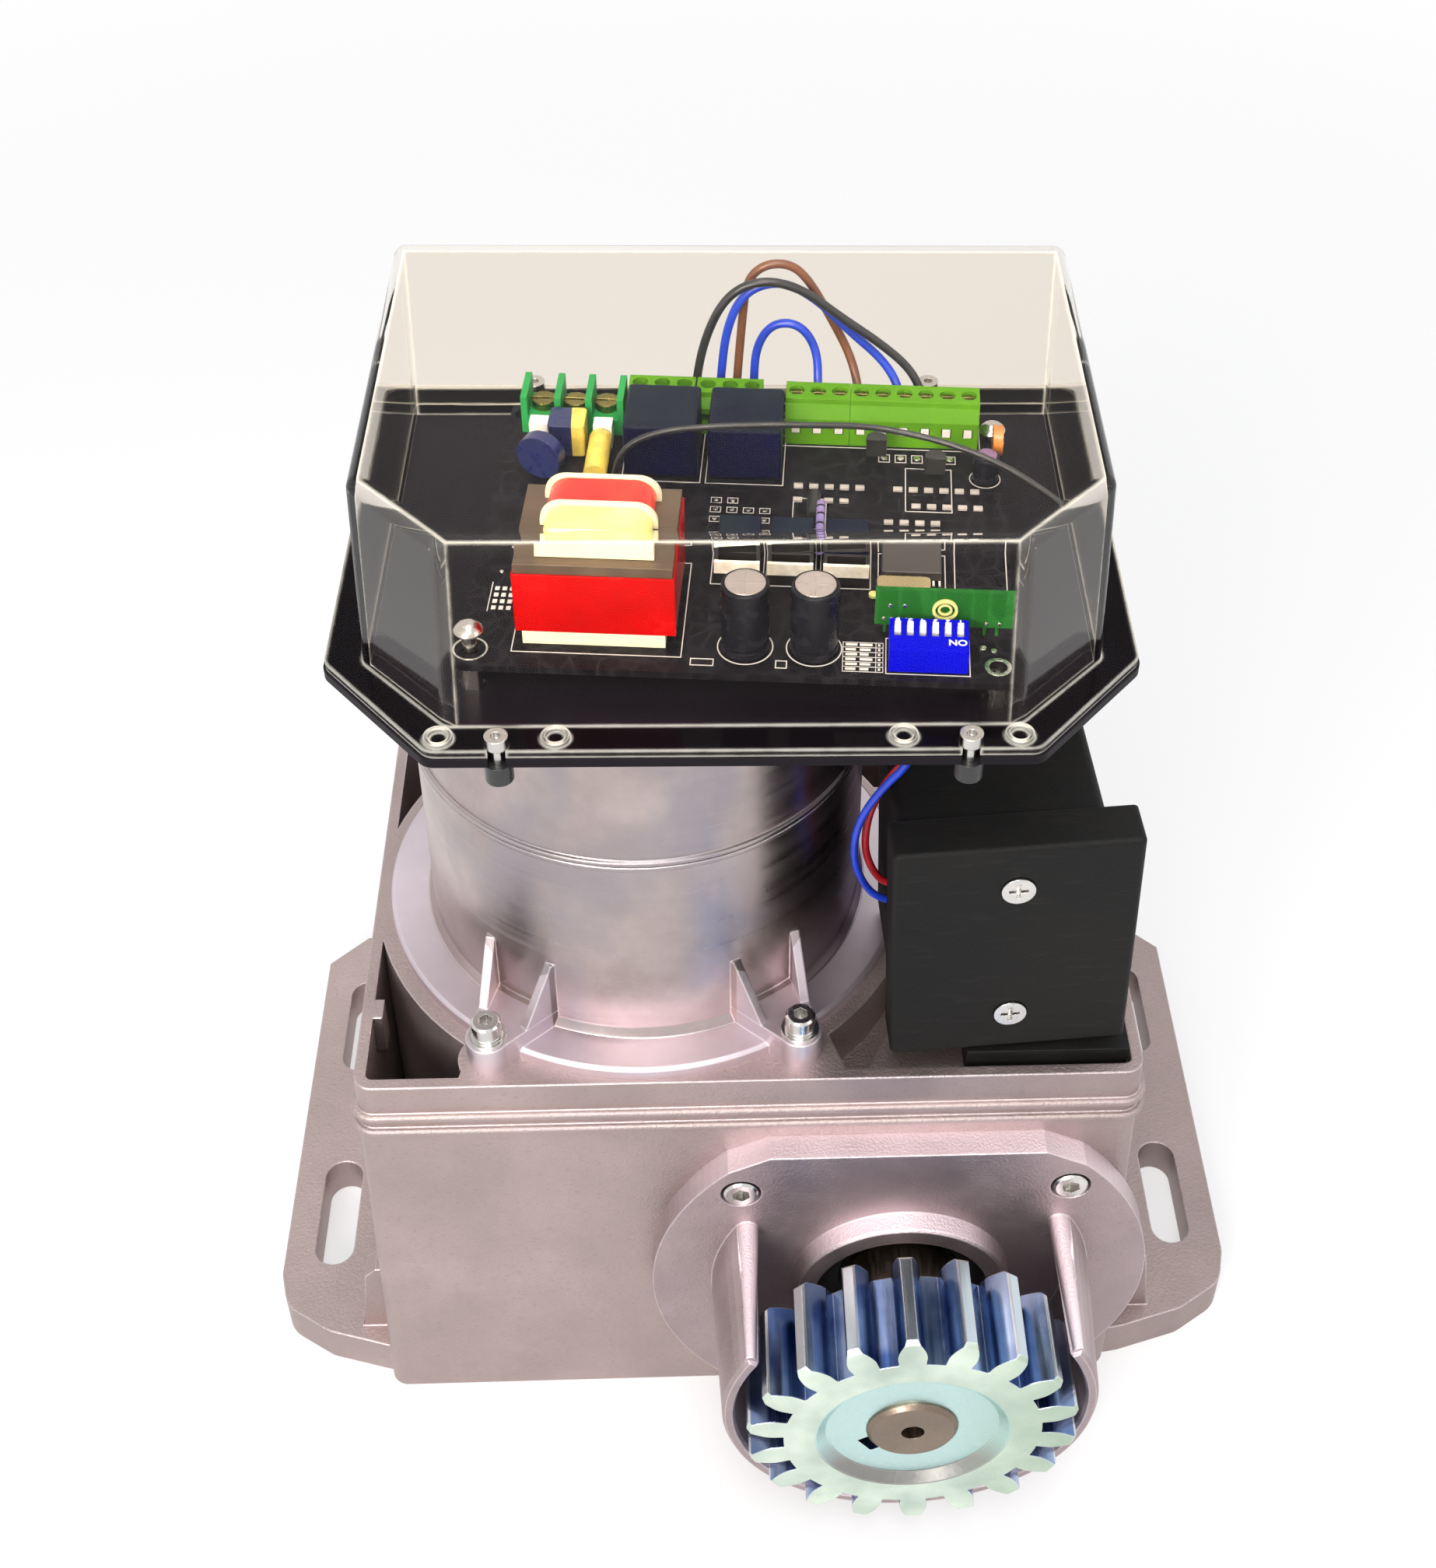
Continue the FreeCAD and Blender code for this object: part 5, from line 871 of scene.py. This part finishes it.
def pads():
    """Tinned rings and dots: mounting holes, test points, pins under the small parts."""
    rows = [(109.4, 5.2, 0.02, 2.75, 1.9, 0.06), (2.6, 5.0, 0.02, 3.6, 3.2, 0.05)]
    rows += [(49.2 + 3.6 * (k % 4), 50.0 + 3.4 * (k // 4), 0.02, 0.55, 0.0, 0.3) for k in range(10)]
    rows += [(85.9 + 3.7 * k, 74.5, 0.02, 0.8, 0.0, 0.35) for k in range(5)]
    rows += [(101.5, 26.2, 0.02, 0.6, 0.0, 0.4), (5.6, 30.0, 0.02, 0.4, 0.0, 0.2),
             (7.8, 33.0, 0.02, 0.4, 0.0, 0.2), (106.4, 10.4, 0.02, 0.7, 0.0, 0.6),
             (108.6, 9.8, 0.02, 0.6, 0.0, 0.5)]
    rounds("tinned_pads", rows, TIN)
    face = 14.55
    dots = [(86.0 + 1.55 * k, face, 4.1, 0.42, 0.0, 0.3) for k in range(4)]
    dots += [(u, face, h, 0.42, 0.0, 0.3) for u, h in ((87.2, 7.6), (90.2, 7.6), (107.0, 3.6), (109.6, 3.6))]
    rounds("receiver_joints", dots, TIN, True)
    rounds("receiver_coil", [(98.4, face, 7.0, 2.6, 2.0, 0.7), (98.4, face, 7.0, 1.5, 1.0, 0.5)], COIL, True)


def capacitor_tops():
    """Bare scored can tops on the two tall capacitors and the small one."""
    rounds("can_tops", [(u, v, 16.72, 4.1, 0.0, 0.12) for u, v in CAPS], BARE_ALU)
    rounds("small_can_top", [(*SMALL_CAP, 6.62, 2.3, 0.0, 0.1)], PURPLE_TOP)
    scores = []
    for u, v in CAPS:
        scores += [(u - 3.6, v - 0.1, u + 3.6, v + 0.1), (u - 0.1, v + 0.1, u + 0.1, v + 3.6),
                   (u - 0.1, v - 3.6, u + 0.1, v - 0.1)]
    bars("can_scores", scores, VENT, 16.80, 16.88)


def clamp_tongues():
    """Bright tongues in the wire windows of the two front terminal rows."""
    middles = [u0 + TERMINAL_PITCH * (k + 0.5) for u0, poles in TERMINAL_ROWS for k in range(poles)]
    rows = [(u - 0.9, 78.85, u + 0.9, 79.6) for u in middles]
    bars("clamp_tongues", rows, SILK, 3.2, 5.2)


def axial_part():
    """Sleeved choke lying front to back between the small relays, with dark bands, and an olive bead."""
    rounds("axial_choke", [(72.25, 51.0, 4.6, 1.0, 0.0, 16.0)], VIOLET, True)
    bands = [(72.25, v, 4.6, 1.04, 0.0, 0.5) for v in (49.4, 46.6, 43.2, 40.4, 37.6)]
    rounds("choke_bands", bands, MASK, True)
    rounds("olive_bead", [(83.9, 26.4, 0.02, 0.9, 0.0, 0.7)], COIL)


board_print()
pads()
capacitor_tops()
clamp_tongues()
axial_part()
for k in range(6):
    place = SWITCH_U + (k - 2.5) * SLIDER_PITCH
    legend("numeral_%d" % (6 - k), str(6 - k), place, 11.75, SWITCH_TOP, 1.9, SLIDER)
legend("numeral_on", "ON", 100.9, 5.4, SWITCH_TOP, 2.4, SLIDER)


# ---------------------------------------------------------------- studio
def add_studio():
    """Pale floor going to white away from the motor, soft lamps and an even white surround."""
    floor = bpy.data.meshes.new("studio_floor")
    side = 6.0
    corners = [(-side, -side, 0), (side, -side, 0), (side, side, 0), (-side, side, 0)]
    floor.from_pydata(corners, [], [(0, 1, 2, 3)])
    f = Finish("studio_floor", (0.86, 0.86, 0.86), 0.7, 0.0)
    path = f.tree.nodes.new("ShaderNodeLightPath")
    glow = put(f.tree, "ShaderNodeEmission", in_Strength=1.0)
    seen = f.math("MAXIMUM", path.outputs["Is Camera Ray"], path.outputs["Is Transmission Ray"])
    seen = f.math("MAXIMUM", seen, path.outputs["Is Glossy Ray"])
    blend = put(f.tree, "ShaderNodeMixShader")
    fade = f.span(f.reach(f.axis("X"), f.axis("Y")), 0.45, 1.0, 0.22, 0.9)
    join(f.tree, f.math("MULTIPLY", seen, fade), blend.inputs["Fac"])
    join(f.tree, f.shader.outputs[0], blend.inputs[1])
    join(f.tree, glow.outputs[0], blend.inputs[2])
    join(f.tree, blend.outputs[0], f.output.inputs["Surface"])
    floor.materials.append(f.mat)
    plane = bpy.data.objects.new("studio_floor", floor)
    bpy.context.scene.collection.objects.link(plane)

    world = bpy.data.worlds.new("studio")
    bpy.context.scene.world = world
    world.use_nodes = True
    tree = world.node_tree
    tree.nodes.clear()
    soft = put(tree, "ShaderNodeBackground", in_Strength=0.55)
    soft.inputs["Color"].default_value = (0.93, 0.95, 1.0, 1.0)
    white = put(tree, "ShaderNodeBackground", in_Strength=1.0)
    white.inputs["Color"].default_value = (1.0, 1.0, 1.0, 1.0)
    light_path = tree.nodes.new("ShaderNodeLightPath")
    bounces = put(tree, "ShaderNodeMath", operation="ADD")
    join(tree, light_path.outputs["Diffuse Depth"], bounces.inputs[0])
    join(tree, light_path.outputs["Glossy Depth"], bounces.inputs[1])
    straight = put(tree, "ShaderNodeMath", operation="LESS_THAN")
    join(tree, bounces.outputs[0], straight.inputs[0])
    through = put(tree, "ShaderNodeMath", operation="MULTIPLY")
    join(tree, light_path.outputs["Is Transmission Ray"], through.inputs[0])
    join(tree, straight.outputs[0], through.inputs[1])
    both = put(tree, "ShaderNodeMath", operation="MAXIMUM")
    join(tree, light_path.outputs["Is Camera Ray"], both.inputs[0])
    join(tree, through.outputs[0], both.inputs[1])
    shiny = put(tree, "ShaderNodeMath", operation="MAXIMUM")
    join(tree, both.outputs[0], shiny.inputs[0])
    join(tree, light_path.outputs["Is Glossy Ray"], shiny.inputs[1])
    blend = put(tree, "ShaderNodeMixShader")
    out = tree.nodes.new("ShaderNodeOutputWorld")
    join(tree, shiny.outputs[0], blend.inputs["Fac"])
    join(tree, soft.outputs[0], blend.inputs[1])
    join(tree, white.outputs[0], blend.inputs[2])
    join(tree, blend.outputs[0], out.inputs["Surface"])

    target = Vector((0.0, -0.03, 0.14))
    for name, place, size, power, color in (
            ("front_lamp", (-0.55, -1.25, 0.85), 0.7, 17.0, (1.0, 0.965, 0.93)),
            ("side_lamp", (1.2, -0.5, 0.9), 0.7, 2.0, (0.95, 0.97, 1.0)),
            ("high_lamp", (0.0, -0.75, 1.45), 0.6, 10.0, (1.0, 0.98, 0.97)),
            ("top_lamp", (0.0, 0.05, 1.60), 0.8, 5.0, (1.0, 0.98, 0.98))):
        data = bpy.data.lights.new(name, "AREA")
        data.shape = "DISK"
        data.size = size
        data.energy = power
        data.color = color
        lamp = bpy.data.objects.new(name, data)
        bpy.context.scene.collection.objects.link(lamp)
        lamp.location = place
        lamp.rotation_mode = "QUATERNION"
        lamp.rotation_quaternion = (target - Vector(place)).to_track_quat("-Z", "Y")


add_studio()
bpy.context.scene.view_settings.view_transform = "Standard"
